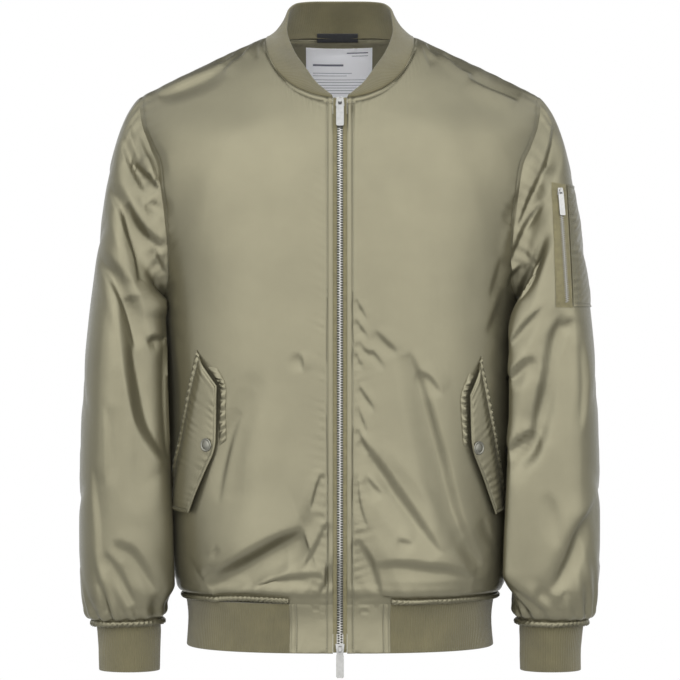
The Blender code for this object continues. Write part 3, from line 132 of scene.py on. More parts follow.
# Cuff rings: height, middle x, half width, half depth.
CUFF = (
    (-0.6700, 0.24125, 0.03625, 0.0330),
    (-0.6790, 0.24050, 0.03600, 0.0325),
    (-0.7000, 0.24000, 0.03480, 0.0310),
    (-0.7245, 0.24000, 0.03430, 0.0300),
)
CUFF_Y = -0.030

# Upper edge of the collar, by the share of the way from centre front to centre back.
COLLAR_TOP = (
    (0.00, 0.0095, -0.0865, -0.0730),
    (0.15, 0.0265, -0.0730, -0.0575),
    (0.30, 0.0379, -0.0570, -0.0405),
    (0.45, 0.0530, -0.0310, -0.0160),
    (0.60, 0.0613, 0.0010, 0.0120),
    (0.72, 0.0605, 0.0270, 0.0330),
    (0.82, 0.0500, 0.0460, 0.0445),
    (0.92, 0.0260, 0.0560, 0.0475),
    (1.00, 0.0000, 0.0580, 0.0478),
)
COLLAR_BULGE = 0.0035
COLLAR_HIGH = 0.045          # height at which the collar bulges that much
COLLAR_TAPER = 0.30
UNDERARM_THIN = 0.6
UNDERARM_REACH = 0.045

# Broad folds in millimetres, the fronts' shallower than the solids': start, end, bow, half
# width and depth.
FOLDS = {
    "front": (
        (80, -373, 136, -552, 10, 22, -0.4),
        (58, -400, 98, -560, -10, 29, 0.4),
        (45, -486, 92, -549, 4, 19, -3.0),
        (17, -560, 50, -632, 4, 19, -2.7),
        (139, -571, 165, -612, 0, 19, -2.7),
        (-99, -403, -126, -510, -6, 22, -2.5),
        (-70, -420, -96, -545, -4, 29, 2.0),
        (-38, -560, -152, -622, 12, 22, -4.0),
        (-26, -535, -44, -606, -4, 19, -2.7),
        (60, -130, 112, -300, 12, 39, -1.2),
        (-60, -130, -106, -300, -12, 39, -1.2),
        (150, -125, 185, -250, 10, 29, -1.4),
        (-150, -125, -182, -250, -10, 29, -1.4),
        (241, -104, 199, -211, 8, 19, -6.5),
        (239, -187, 200, -256, -8, 19, -4.7),
        (238, -218, 204, -302, -8, 19, -5.1),
        (252, -316, 226, -380, -4, 19, -5.6),
        (225, -380, 198, -492, 8, 20, -5.1),
        (268, -560, 234, -632, 4, 19, -4.2),
        (-263, -179, -227, -281, 10, 19, -5.1),
        (-274, -260, -234, -337, 10, 19, -5.1),
        (-240, -135, -204, -200, -6, 19, -4.7),
        (-242, -400, -226, -520, 6, 25, -3.7),
        (-246, -600, -230, -648, 0, 19, -3.7),
    ),
    "back": (
        (175, -200, 75, -330, 10, 29, -8.5),
        (-178, -205, -85, -345, -10, 29, -8.5),
        (150, -380, 60, -560, 12, 31, -9.3),
        (-150, -400, -50, -585, -12, 31, -9.3),
        (20, -180, -12, -420, 10, 45, -5.1),
        (262, -300, 222, -400, 6, 20, -9.3),
        (-262, -290, -222, -390, -6, 20, -9.3),
        (268, -470, 224, -560, -6, 20, -7.6),
        (-268, -480, -224, -570, 6, 20, -7.6),
    ),
    "left": (
        (-60, -230, 40, -300, 6, 20, -1.7),
        (45, -360, -70, -420, 6, 22, -1.9),
        (-70, -500, 30, -560, 4, 20, -1.5),
    ),
    "right": (
        (-55, -215, 45, -290, 6, 20, -1.7),
        (45, -350, -70, -430, 6, 22, -1.9),
        (-70, -510, 30, -565, 4, 20, -1.5),
    ),
}
VIEWS = {
    "front": (0, (0, -1, 0)),
    "back": (0, (0, 1, 0)),
    "left": (1, (1, 0, 0)),
    "right": (1, (-1, 0, 0)),
}

# Creases, in millimetres: depth, half width, height of the ridge beside it (on the left of
# the line as it runs, or on its right where negative), and the line's points.
CREASES = {
    "front": (
        # wearer's left sleeve, front
        (5.5, 8, 2.5, ((199, -222), (212, -190), (228, -158), (238, -128), (243, -102))),
        (4.0, 8, 2.5, ((190, -266), (199, -240), (209, -217), (222, -199), (240, -187))),
        (2.8, 11, 1.4, ((200, -303), (207, -284), (217, -262), (228, -239), (238, -219))),
        (2.5, 7, 1.0, ((188, -294), (192, -278), (200, -268), (209, -263))),
        (3.5, 8, 2.0, ((189, -354), (198, -342), (210, -327), (231, -306))),
        (7.5, 16, 3.5, ((214, -462), (221, -428), (228, -394), (237, -346), (250, -314))),
        (3.0, 8, 1.5, ((192, -492), (203, -478), (213, -466), (222, -441))),
        (5.5, 11, 3.0, ((186, -474), (194, -467), (204, -459), (216, -450))),
        (5.0, 9, 3.0, ((187, -394), (194, -386), (203, -376), (213, -366))),
        (5.5, 13, 2.5, ((235, -630), (246, -609), (255, -590), (266, -561), (279, -544), (289, -527))),
        (2.0, 7, 1.0, ((247, -332), (256, -327), (265, -321))),
        (2.0, 7, 1.0, ((243, -648), (247, -637), (255, -628))),
        (2.0, 7, 1.0, ((217, -644), (222, -632), (227, -624))),
        (2.5, 10, 1.5, ((274, -352), (277, -400), (272, -450))),
        (2.0, 9, 1.0, ((236, -520), (244, -545), (247, -578))),
        # wearer's right sleeve, front
        (4.5, 8, -2.5, ((-263, -178), (-250, -200), (-239, -228), (-231, -256), (-227, -282))),
        (4.5, 8, -2.5, ((-275, -259), (-266, -270), (-255, -288), (-241, -318), (-228, -358))),
        (9.0, 24, -5.0, ((-249, -302), (-240, -350), (-233, -395), (-224, -440), (-208, -470),
                      (-193, -488))),
        (4.5, 12, 2.5, ((-239, -194), (-230, -212), (-218, -227), (-198, -243))),
        (2.5, 7, 1.5, ((-221, -197), (-211, -194), (-201, -199))),
        (3.5, 8, 2.0, ((-240, -142), (-226, -156), (-214, -166), (-203, -180))),
        (3.5, 7, -2.0, ((-248, -120), (-243, -138), (-234, -158), (-220, -182))),
        (2.0, 7, -1.0, ((-239, -100), (-235, -118), (-227, -144))),
        (2.5, 7, -1.5, ((-229, -112), (-221, -132), (-212, -148), (-204, -176))),
        (2.5, 8, 1.0, ((-209, -245), (-203, -259), (-196, -272))),
        (3.0, 8, 1.5, ((-215, -349), (-206, -345), (-196, -347))),
        (4.0, 10, 2.0, ((-254, -576), (-242, -579), (-230, -586), (-217, -606), (-204, -631))),
        (2.5, 8, 1.5, ((-264, -587), (-254, -597), (-246, -608), (-229, -644))),
        (2.0, 7, -1.0, ((-273, -622), (-268, -638), (-264, -656))),
        (2.0, 10, -1.0, ((-279, -492), (-275, -530), (-272, -560), (-269, -609))),
        (2.0, 10, -1.0, ((-262, -424), (-259, -461), (-261, -509))),
        # body, wearer's left
        (5.5, 12, 2.5, ((79, -362), (94, -402), (108, -450), (117, -482), (125, -515),
                      (134, -546), (147, -576), (160, -598))),
        (5.0, 12, 2.5, ((24, -459), (44, -485), (63, -513), (88, -548), (113, -585))),
        (4.5, 12, 2.0, ((20, -569), (30, -584), (39, -602), (47, -634))),
        (4.5, 14, 2.0, ((40, -598), (66, -596), (96, -600), (124, -604), (150, -614))),
        (1.2, 8, 0.5, ((162, -548), (169, -564), (176, -580))),
        (1.2, 9, 0.6, ((167, -301), (174, -279), (180, -256))),
        (1.6, 11, 0.7, ((164, -341), (174, -318), (184, -291))),
        (2.0, 8, 1.0, ((87, -383), (100, -391), (113, -408))),
        (1.6, 4, 0.6, ((18, -303), (22, -311), (30, -325))),
        (1.6, 4, 0.6, ((18, -326), (23, -334), (31, -345))),
        (1.8, 4, 0.8, ((22, -352), (30, -361), (39, -364), (50, -380))),
        (1.4, 4, 0.5, ((18, -361), (21, -371), (27, -380))),
        (1.8, 4, 0.8, ((21, -399), (28, -410), (39, -426))),
        (1.6, 4, 0.6, ((21, -424), (25, -436), (31, -452))),
        (1.8, 5, 0.8, ((20, -446), (25, -458), (33, -472))),
        (1.8, 5, 0.8, ((20, -500), (22, -525), (26, -542), (31, -556))),
        (2.0, 7, 1.0, ((40, -338), (51, -350), (64, -362))),
        (2.0, 7, 1.0, ((29, -499), (38, -510), (48, -520))),
        (2.0, 8, 1.0, ((63, -569), (72, -571), (82, -574))),
        # body, wearer's right
        (12.5, 27, 5.0, ((-150, -622), (-124, -604), (-88, -582), (-62, -568), (-40, -560))),
        (4.0, 11, 2.0, ((-98, -625), (-78, -616), (-52, -612), (-20, -607))),
        (1.8, 9, -0.8, ((-134, -530), (-128, -495), (-120, -461), (-113, -440), (-107, -430))),
        (2.2, 5, 1.0, ((-33, -537), (-27, -512), (-22, -500), (-15, -495))),
        (3.5, 8, 1.5, ((-43, -604), (-32, -584), (-24, -568), (-16, -550))),
        (2.5, 7, 1.5, ((-25, -630), (-17, -616), (-16, -598))),
        (1.4, 6, 0.4, ((-156, -613), (-148, -604), (-140, -600))),
        (1.0, 4, 0.3, ((-144, -590), (-140, -583), (-137, -578))),
        (1.8, 7, 1.0, ((-45, -363), (-42, -372), (-41, -382))),
        # beside the neck and along the shoulders
        (3.4, 6, 1.8, ((-99, -5), (-104, -14), (-111, -24))),
        (2.6, 5, 1.2, ((-105, -9), (-110, -19), (-118, -31))),
        (3.4, 6, 1.8, ((-120, -19), (-130, -27), (-142, -36))),
        (2.2, 5, 1.0, ((-116, -25), (-124, -34), (-133, -43))),
        (1.6, 5, 0.8, ((-93, -8), (-93, -18), (-91, -28))),
        (4.2, 8, 2.4, ((-208, -68), (-190, -62), (-170, -54), (-150, -46), (-132, -36))),
        (3.4, 6, -1.8, ((97, -6), (102, -16), (110, -26))),
        (2.2, 5, -1.0, ((108, -14), (118, -24), (131, -33))),
        (3.4, 6, -1.8, ((118, -22), (134, -36), (152, -46))),
        (1.6, 5, -0.8, ((93, -12), (96, -24), (102, -38))),
        (4.6, 9, -2.6, ((146, -50), (164, -59), (183, -67), (202, -76))),
    ),
    "back": (
        (4.5, 11, 2.5, ((190, -214), (168, -226), (142, -248), (112, -284), (84, -330))),
        (3.5, 10, 2.0, ((176, -296), (150, -312), (124, -340), (106, -380))),
        (4.5, 11, -2.5, ((-191, -210), (-166, -224), (-138, -250), (-112, -290), (-92, -346))),
        (3.0, 10, -2.0, ((-182, -300), (-158, -322), (-132, -352))),
        (4.0, 12, 2.0, ((158, -390), (130, -430), (100, -480), (66, -556))),
        (3.0, 10, 1.5, ((172, -480), (150, -520), (120, -560), (88, -600))),
        (4.0, 12, -2.0, ((-152, -396), (-122, -450), (-92, -510), (-52, -590))),
        (3.0, 10, -1.5, ((-168, -510), (-146, -546), (-118, -588))),
        (3.0, 12, 1.5, ((28, -150), (18, -220), (2, -300), (-10, -400))),
        (3.0, 10, 1.5, ((40, -520), (18, -560), (-20, -604))),
        (2.5, 10, 1.5, ((-4, -92), (36, -104), (84, -110))),
        (2.5, 10, 1.5, ((-150, -110), (-100, -128), (-50, -126))),
        (4.5, 9, 2.0, ((226, -176), (242, -206), (262, -228))),
        (4.5, 9, 2.0, ((224, -240), (244, -270), (268, -300))),
        (4.5, 10, 2.0, ((216, -404), (236, -370), (256, -330), (268, -296))),
        (3.5, 9, 2.0, ((222, -566), (246, -520), (272, -474))),
        (2.5, 8, 1.5, ((232, -640), (244, -610), (262, -580))),
        (4.5, 9, -2.0, ((-228, -170), (-244, -204), (-264, -230))),
        (4.5, 9, -2.0, ((-222, -236), (-240, -270), (-266, -306))),
        (4.5, 10, -2.0, ((-214, -392), (-238, -352), (-262, -292))),
        (3.5, 9, -2.0, ((-222, -574), (-248, -530), (-270, -484))),
        (2.5, 8, -1.5, ((-228, -644), (-246, -616), (-264, -590))),
    ),
    "left": (
        (1.1, 9, 0.5, ((-60, -232), (-20, -250), (12, -274), (40, -302))),
        (1.2, 10, 0.5, ((44, -362), (10, -372), (-30, -392), (-70, -424))),
        (0.8, 9, 0.4, ((30, -440), (0, -462), (-40, -470))),
        (1.1, 10, 0.5, ((-72, -498), (-40, -512), (-4, -532), (32, -562))),
        (0.8, 9, 0.4, ((24, -590), (-10, -604), (-60, -600))),
        (0.8, 9, 0.4, ((-36, -150), (-8, -166), (28, -176))),
    ),
    "right": (
        (1.1, 9, 0.5, ((-58, -212), (-20, -236), (14, -262), (44, -292))),
        (1.2, 10, 0.5, ((46, -348), (10, -366), (-30, -396), (-72, -432))),
        (0.8, 9, 0.4, ((34, -450), (-4, -470), (-44, -474))),
        (1.1, 10, 0.5, ((-70, -508), (-36, -524), (0, -544), (32, -566))),
        (0.8, 9, 0.4, ((20, -600), (-16, -612), (-58, -606))),
        (0.8, 9, 0.4, ((-34, -140), (-6, -156), (30, -168))),
    ),
}

# Cells of the fine grids.
NECK_CELLS = 54
SHOULDER_CELLS = 63
TAB_CELLS = 27
BACK_NECK_CELLS = 72
ARM_CELLS = 96
SIDE_CELLS = 104
AROUND = 2 * ARM_CELLS
SLEEVE_SPLIT = 12            # station that parts the sleeve's even rings from its closer ones
SLEEVE_STEPS = 128
SLEEVE_END_STEPS = 26
SIDE_PACE = 0.35             # how the rows close up down the side seam and down the zip
ZIP_PACE, ZIP_POWER = 0.12, 1.25
DEPTH_TURNS = 40             # turns that find a point's height on the sloping shoulder
RELAX_ROWS = 112             # rows from the top whose points are evened out
RELAX_FADE = 32              # rows over which that ends
RELAX_SHARE = 0.96
RELAX_TURNS = 2600
ZIP_SIDE_CELLS = 14          # coarse columns beside the zip that are split once more

# Bowed creases on the two hem tabs: centre, half length, sag at half length, depth; their
# half width; and the ridge above each: how far above, half width, share of the depth.
TAB_CREASE_HALF = 0.0017
TAB_RIDGE = (0.0036, 0.0024, 0.7)
TAB_CREASES = {
    "left": ((0.0270, -0.6500, 0.0085, -0.0040, 0.0011), (0.0410, -0.6460, 0.0050, 0.0020, 0.0007)),
    "right": ((-0.0270, -0.6470, 0.0080, 0.0040, 0.0011), (-0.0200, -0.6590, 0.0040, 0.0020, 0.0006)),
}

# Pockets, as in the CAD: flap corners A to E, outer corners of the welt, snap.
POCKETS = {
    1: {
        "flap": ((0.1584, -0.3664), (0.1416, -0.4099), (0.1433, -0.4702),
                 (0.1713, -0.5442), (0.1885, -0.5348)),
        "welt": ((0.1441, -0.3860), (0.1335, -0.4100), (0.1371, -0.4660)),
        "snap": ((0.1510, -0.4690),),
    },
    -1: {
        "flap": ((0.1600, -0.3597), (0.1335, -0.3998), (0.1358, -0.4701),
                 (0.1659, -0.5427), (0.1935, -0.5378)),
        "welt": ((0.1370, -0.3800), (0.1262, -0.3975), (0.1290, -0.4600)),
        "snap": ((0.1455, -0.4655),),
    },
}

# Zips, as in the CAD.
CHAIN_HALF = 0.0030
CHAIN_OUT = 0.0010
CHAIN_IN = -0.0022
ZIP_TOP = -0.0765
BOTTOM_SLIDER_TOP = -0.6860
SLIDER_LENGTH = 0.0115
SLIDER_CROWN = 0.0035
SLEEVE_ZIP_TAPE = ((0.2387, -0.1704), (0.2560, -0.1727), (0.2612, -0.3119), (0.2423, -0.3119))
SLEEVE_CHAIN = ((0.2483, -0.1860), (0.2547, -0.3057))
SLEEVE_POCKET_TOP = -0.1727
SLEEVE_POCKET_BOTTOM = -0.3110
SLEEVE_POCKET_BACK = 0.036
LABEL_BOX = ((-0.040, 0.038), (-0.080, -0.0055))
LOOP_ENDS = (-0.0268, 0.0209)
LOOP_HIGH = 0.0115
LOOP_THICK = 0.0012
LOOP_LEAN = -30.0
LOOP_ABOVE = 0.30
LINING_ROWS = 48


# ---------------------------------------------------------------- small tools
def column(rows, index):
    """A smooth curve, without overshoot, through one column of a table, by its first."""
    keys = np.array([row[0] for row in rows], float)
    values = np.array([row[index] for row in rows], float)
    step = np.diff(keys)
    rise = np.diff(values) / step
    slope = np.zeros(len(keys))
    slope[0], slope[-1] = rise[0], rise[-1]
    for i in range(1, len(keys) - 1):
        if rise[i - 1] * rise[i] > 0:
            before = 2 * step[i] + step[i - 1]
            after = step[i] + 2 * step[i - 1]
            slope[i] = (before + after) / (before / rise[i - 1] + after / rise[i])

    def at(place):
        place = np.clip(place, keys[0], keys[-1])
        i = np.clip(np.searchsorted(keys, place) - 1, 0, len(keys) - 2)
        t = (place - keys[i]) / step[i]
        start = (1 + 2 * t) * (1 - t) ** 2 * values[i] + t**2 * (3 - 2 * t) * values[i + 1]
        return start + step[i] * (t * (1 - t) ** 2 * slope[i] - t**2 * (1 - t) * slope[i + 1])

    return at


def smooth(t):
    """Rises smoothly from 0 to 1."""
    t = np.clip(t, 0.0, 1.0)
    return t * t * (3 - 2 * t)


def bell(t):
    """Falls smoothly from 1 in the middle to 0 at -1 and 1."""
    return np.clip(1 - t * t, 0, 1) ** 2


def unit(vectors):
    length = np.linalg.norm(vectors, axis=-1, keepdims=True)
    return vectors / np.maximum(length, 1e-12)


def hashed(value):
    """Fixed noise from -1 to 1."""
    value = np.sin(value) * 43758.5453
    return 2 * (value - np.floor(value)) - 1


def wave(place, seed):
    """Smooth noise along a line, -1 to 1, with one lump a unit."""
    cell = np.floor(place)
    t = smooth(place - cell)
    before, after = (hashed(place * 12.9898 + seed * 7.233) for place in (cell, cell + 1))
    return before * (1 - t) + after * t


def mottle(points, size, seed):
    """Smooth noise in space, -1 to 1, with lumps of a size in x, y and z."""
    place = points / np.array(size) + 31.7
    cell = np.floor(place)
    t = smooth(place - cell)
    total = np.zeros(points.shape[:-1])
    for corner in range(8):
        step = np.array([corner & 1, corner >> 1 & 1, corner >> 2 & 1])
        value = hashed((cell + step) @ np.array([12.9898, 78.233, 37.719]) + seed * 5.17)
        total += value * np.where(step, t, 1 - t).prod(axis=-1)
    return total


def spline(points, per=8):
    """Catmull-Rom curve through a few points."""
    p = np.array(points, float)
    p = np.concatenate([[2 * p[0] - p[1]], p, [2 * p[-1] - p[-2]]])
    t = np.linspace(0, 1, per, endpoint=False)[:, None]
    parts = []
    for a, b, c, d in zip(p, p[1:], p[2:], p[3:]):
        parts.append(0.5 * (2 * b + (c - a) * t + (2 * a - 5 * b + 4 * c - d) * t**2
                            + (3 * b - 3 * c + d - a) * t**3))
    return np.concatenate([*parts, p[-2:-1]])


def lengths(line):
    """Distance along a line of points, from its start."""
    return np.concatenate([[0], np.cumsum(np.linalg.norm(np.diff(line, axis=0), axis=1))])


def resampled(line, count, values=None):
    """The line's points, or values given at them, at evenly spaced places along it."""
    walked = lengths(line)
    want = np.linspace(0, walked[-1], count)
    values = line if values is None else values
    return np.stack([np.interp(want, walked, each) for each in values.T], axis=-1)


half_width = column(BODY, 1)
DEPTH = {"front": column(BODY, 2), "back": column(BODY, 3)}
zip_depth = column(BODY, 4)
armhole_x = {"front": column(ARMHOLE, 1), "back": column(ARMHOLE, 2)}


# ---------------------------------------------------------------- body surface
def ridge(x):
    """Height of the shoulder line, carried on across the neck."""
    return (math.hypot(NECK_HALF, NECK_SOFT) - np.hypot(x, NECK_SOFT)) * SLOPE


def turn_of(x, z):
    """Angle round the body of a point seen at x and z: 0 in the middle."""
    share = np.clip(np.abs(x) / half_width(z), 0.0, 1.0)
    return np.arcsin(share ** (ROUNDNESS / 2)) * np.sign(x)


def run_of(x, z, face):
    """Length over the cloth from the shoulder line down to that point."""
    drop, length = ROLL[face]
    below = ridge(x) - z
    rolled = length * np.arccos(1 - np.clip(below / drop, 0, 1)) / (math.pi / 2)
    return rolled + np.maximum(below - drop, 0)


def body_point(turn, run, face):
    """Point on the body at an angle round it and a length below the shoulder line."""
    drop, length = ROLL[face]
    angle = np.clip(run / length, 0, 1) * math.pi / 2
    below = drop * (1 - np.cos(angle)) + np.maximum(run - length, 0)
    across = np.abs(np.sin(turn)) ** (2 / ROUNDNESS) * np.sign(turn)
    z = ridge(NECK_HALF) - below
    for _ in range(DEPTH_TURNS):
        z = ridge(half_width(z) * across) - below
    depth = DEPTH[face](z)
    if face == "front":
        flat = smooth(np.abs(turn) / ZIP_FLAT)
        depth = zip_depth(z) + (depth - zip_depth(z)) * flat
    y = depth * np.abs(np.cos(turn)) ** (2 / ROUNDNESS) * np.sin(angle)
    return np.stack([half_width(z) * across, -y if face == "front" else y, z], axis=-1)


def patch(top, bottom, left, right):
    """Even grid between four edges, given as (n, 2) arrays in turn and run."""
    pace_left = (left[:, 1] - left[0, 1]) / (left[-1, 1] - left[0, 1])
    pace_right = (right[:, 1] - right[0, 1]) / (right[-1, 1] - right[0, 1])
    u = np.linspace(0, 1, len(top))[None, :, None]
    share = pace_left[:, None, None] * (1 - u) + pace_right[:, None, None] * u
    across = top[None, :, :] * (1 - share) + bottom[None, :, :] * share
    mend_left = left[:, None, :] - across[:, :1, :]
    mend_right = right[:, None, :] - across[:, -1:, :]
    grid = across + mend_left * (1 - u) + mend_right * u
    last = RELAX_ROWS + RELAX_FADE + 2
    fade = smooth((np.arange(1, last - 1) - RELAX_ROWS) / RELAX_FADE)
    keep = RELAX_SHARE * (1 - fade[:, None, None])
    part = grid[:last].copy()
    for _ in range(RELAX_TURNS):
        inner = (part[:-2, 1:-1] + part[2:, 1:-1] + part[1:-1, :-2] + part[1:-1, 2:]) / 4
        part[1:-1, 1:-1] += (inner - part[1:-1, 1:-1]) * keep
    grid[:last] = part
    return grid


def edge(points, face):
    """Turn and run of points given by x and z."""
    x, z = np.array(points, float).T
    return np.stack([turn_of(x, z), run_of(x, z, face)], axis=-1)


def front_neckline():
    first = math.asin((FRONT_EDGE / NECK_HALF) ** (NECK_POWER / 2))
    angles = np.linspace(first, math.pi / 2, NECK_CELLS + 1)
    x = NECK_HALF * np.sin(angles) ** (2 / NECK_POWER)
    z = -NECK_DROP * np.clip(np.cos(angles), 0, 1) ** (2 / NECK_POWER)
    z[-1] = 0.0
    return list(zip(x, z))


def back_neckline():
    x = NECK_HALF * np.cos(np.linspace(0, math.pi, BACK_NECK_CELLS + 1))
    x = 0.5 * x + 0.5 * np.linspace(NECK_HALF, -NECK_HALF, BACK_NECK_CELLS + 1)
    z = NECK_RISE * (1 - (x / NECK_HALF) ** 2)
    return list(zip(x, z))


def shoulder_line():
    x = np.linspace(NECK_HALF, SHOULDER_X, SHOULDER_CELLS + 1)
    return list(zip(x, ridge(x)))


def armhole(face):
    middle = (SHOULDER_Z + UNDERARM_Z) / 2
    reach = (SHOULDER_Z - UNDERARM_Z) / 2
    z = middle + reach * np.cos(np.linspace(0, math.pi, ARM_CELLS + 1))
    return list(zip(armhole_x[face](z), z))


def paced(share, more):
    """Shares of the way along an edge, closer together towards its end."""
    return (1 + more) * share - more * share**3


def side_seam():
    share = np.linspace(0, 1, SIDE_CELLS + 1)
    z = UNDERARM_Z + (SEAM_Z - UNDERARM_Z) * paced(share, SIDE_PACE)
    return list(zip(half_width(z), z))


def hem_turns():
    """Angles of the front's hem seam, with one of them at the tab's edge."""
    tab = turn_of(np.array([FRONT_EDGE, TAB_EDGE]), np.array([SEAM_Z, SEAM_Z]))
    inner = np.linspace(tab[0], tab[1], TAB_CELLS + 1)
    outer_cells = NECK_CELLS + SHOULDER_CELLS - TAB_CELLS
    outer = np.linspace(tab[1], math.pi / 2, outer_cells + 1)
    return np.concatenate([inner, outer[1:]])


def front_grid():
    """Front on the wearer's left: rows downwards, columns from the zip to the side."""
    top = edge(front_neckline() + shoulder_line()[1:], "front")
    right = edge(armhole("front") + side_seam()[1:], "front")
    rows = len(right)
    share = np.linspace(0, 1, rows) ** ZIP_POWER
    z = -NECK_DROP + (SEAM_Z + NECK_DROP) * paced(share, ZIP_PACE)
    left = edge(list(zip(np.full(rows, FRONT_EDGE), z)), "front")
    left[0] = top[0]
    turns = hem_turns()
    run = run_of(half_width(SEAM_Z) * np.sin(turns) ** (2 / ROUNDNESS), SEAM_Z, "front")
    bottom = np.stack([turns, run], axis=-1)
    left[-1] = bottom[0]
    right[-1] = bottom[-1]
    flat = patch(top, bottom, left, right)
    # the columns beside the zip are split once more, for the stitching there
    half = np.arange(0, ZIP_SIDE_CELLS, 0.5)
    places = np.concatenate([half, np.arange(ZIP_SIDE_CELLS, flat.shape[1])])
    low = np.floor(places).astype(int)
    high = np.minimum(low + 1, flat.shape[1] - 1)
    t = (places - low)[None, :, None]
    flat = flat[:, low] * (1 - t) + flat[:, high] * t
    return body_point(flat[..., 0], flat[..., 1], "front")


def back_grid(front):
    """Back, seen from behind: columns from the wearer's left to the right."""
    line = shoulder_line()
    top = edge(line[::-1] + back_neckline()[1:-1] + [(-x, z) for x, z in line], "back")
    left = edge(armhole("back") + side_seam()[1:], "back")
    right = left * np.array([-1, 1])
    turns = np.linspace(math.pi / 2, -math.pi / 2, len(top))
    across = np.abs(np.sin(turns)) ** (2 / ROUNDNESS) * half_width(SEAM_Z)
    bottom = np.stack([turns, run_of(across, SEAM_Z, "back")], axis=-1)
    left[-1] = bottom[0]
    right[-1] = bottom[-1]
    flat = patch(top, bottom, left, right)
    grid = body_point(flat[..., 0], flat[..., 1], "back")
    shoulder = front[0, -SHOULDER_CELLS - 1 :][::-1]
    grid[0, : SHOULDER_CELLS + 1] = shoulder
    grid[0, -SHOULDER_CELLS - 1 :] = shoulder[::-1] * MIRROR
    grid[ARM_CELLS:, 0] = front[ARM_CELLS:, -1]
    grid[ARM_CELLS:, -1] = front[ARM_CELLS:, -1] * MIRROR
    return grid


# ---------------------------------------------------------------- sleeves
def body_clear(y, z):
    """Least x of a sleeve that keeps off the body."""
    depth = np.where(y < 0, DEPTH["front"](z), DEPTH["back"](z)) + SLEEVE_CLEAR
    share = np.clip(1 - (np.abs(y) / depth) ** ROUNDNESS, 0, 1)
    return (half_width(z) + SLEEVE_CLEAR) * share ** (1 / ROUNDNESS)


def sleeve_ring(station, angles, side):
    """Ring of a sleeve: angle 0 is outside, 90 degrees in front and 180 inside."""
    rows = [(i, *row) for i, row in enumerate(SLEEVE)]
    values = (column(rows, i)(station) for i in range(1, 7))
    outer_x, outer_z, inner_x, inner_z, middle_y, half_depth = values
    power = 2 / SLEEVE_POWER
    cos = np.sign(np.cos(angles)) * np.abs(np.cos(angles)) ** power
    sin = np.sign(np.sin(angles)) * np.abs(np.sin(angles)) ** power
    x = (outer_x + inner_x) / 2 + (outer_x - inner_x) / 2 * cos
    z = (outer_z + inner_z) / 2 + (outer_z - inner_z) / 2 * cos
    y = middle_y - half_depth * sin
    degrees = np.degrees(angles)
    lap, end = LAP[side]
    near_front = smooth(1 - np.abs(degrees - LAP_ANGLES[0]) / LAP_ANGLES[1])
    x = x - lap * near_front * (smooth((station - 1.6) / 4.0) * smooth((z + 0.66) / end))
    if side < 0:
        inner = bell((degrees - TUCK_ANGLES[0]) / TUCK_ANGLES[1])
        x = x - TUCK * inner * smooth((station - 1.2) / 2.2) * smooth((z + 0.655) / 0.03)
        x = x - TUCK_UNDERARM * inner * bell((z + 0.306) / 0.020)
    beside = np.maximum(smooth((-0.285 - z) / 0.03), smooth((station - 1.5) / 1.5))
    x = np.maximum(x, body_clear(y, z) * beside)
    return np.stack([x, y, z], axis=-1)


def sleeve_grid(front, back, side):
    """Rings from the armhole down to the cuff, for the wearer's left (side = 1)."""
    angles = np.linspace(0, 2 * math.pi, AROUND, endpoint=False)
    hole = np.concatenate([front[: ARM_CELLS + 1, -1], back[1:ARM_CELLS, 0][::-1]])
    end = np.linspace(SLEEVE_SPLIT, len(SLEEVE) - 1, SLEEVE_END_STEPS + 1)[1:]
    fade = column(list(enumerate(EASE)), 1)
    shape = hole - sleeve_ring(0.0, angles, side)
    rings = []
    for place in (*np.linspace(0, SLEEVE_SPLIT, SLEEVE_STEPS + 1), *end):
        beyond = max(place - len(EASE) + 1, 0)
        keep = float(fade(place)) * max(0.0, 1 - beyond / 2)
        rings.append(sleeve_ring(place, angles, side) + shape * keep)
    rings[0] = hole
    return np.array(rings)


# ---------------------------------------------------------------- folds and creases
FOLD_STEPS = 13              # points of a fold's line
FACING = 0.10                # cloth that faces a view less than this keeps clear of its folds
FACING_LEAST = 0.08          # and isn't looked at when it faces less than this
ELSEWHERE = 9.0              # place of cloth that a side view leaves out
OUTSIDE = 0.225              # creases drawn from a side lie on that sleeve, beyond this x
FACE_HALF = 0.46             # half the width of a crease's steep face, and the run of the
FLANK = 3.6                  # cloth beside it, in shares of the crease's half width
REACH = 4.4                  # how far a crease shapes the cloth, in the same shares
NARROW = 0.72                # the creases are drawn narrower and a little deeper than the
CRISP = 1.05                 # bands that the table measures


def beside_line(points, normals, view, line, reach):
    """Points seen within reach of a line: their numbers, place along it, distance, side."""
    axis, towards = VIEWS[view]
    seen = points[:, [axis, 2]]
    if axis == 1:
        seen = np.where((points[:, 0] * towards[0] > OUTSIDE)[:, None], seen, ELSEWHERE)
    low, high = line.min(axis=0) - reach, line.max(axis=0) + reach
    facing = normals @ np.array(towards) > FACING_LEAST
    where = np.where(np.all((seen > low) & (seen < high), axis=1) & facing)[0]
    spot = seen[where]
    best = np.full(len(spot), np.inf)
    along, side = np.zeros(len(spot)), np.ones(len(spot))
    walked = lengths(line)
    for k, (a, b) in enumerate(zip(line[:-1], line[1:])):
        step = b - a
        t = np.clip((spot - a) @ step / (step @ step), 0, 1)
        off = spot - a - t[:, None] * step
        far = (off**2).sum(axis=1)
        nearer = far < best
        best[nearer] = far[nearer]
        along[nearer] = (walked[k] + t * (walked[k + 1] - walked[k]))[nearer] / walked[-1]
        cross = step[0] * off[:, 1] - step[1] * off[:, 0]
        side[nearer] = np.where(cross[nearer] >= 0, 1.0, -1.0)
    return where, along, np.sqrt(best), side


def facing_share(normals, view, soft):
    """1 where cloth faces a view, down to 0 where it's turned away."""
    return smooth((normals @ np.array(VIEWS[view][1]) - FACING) / soft)


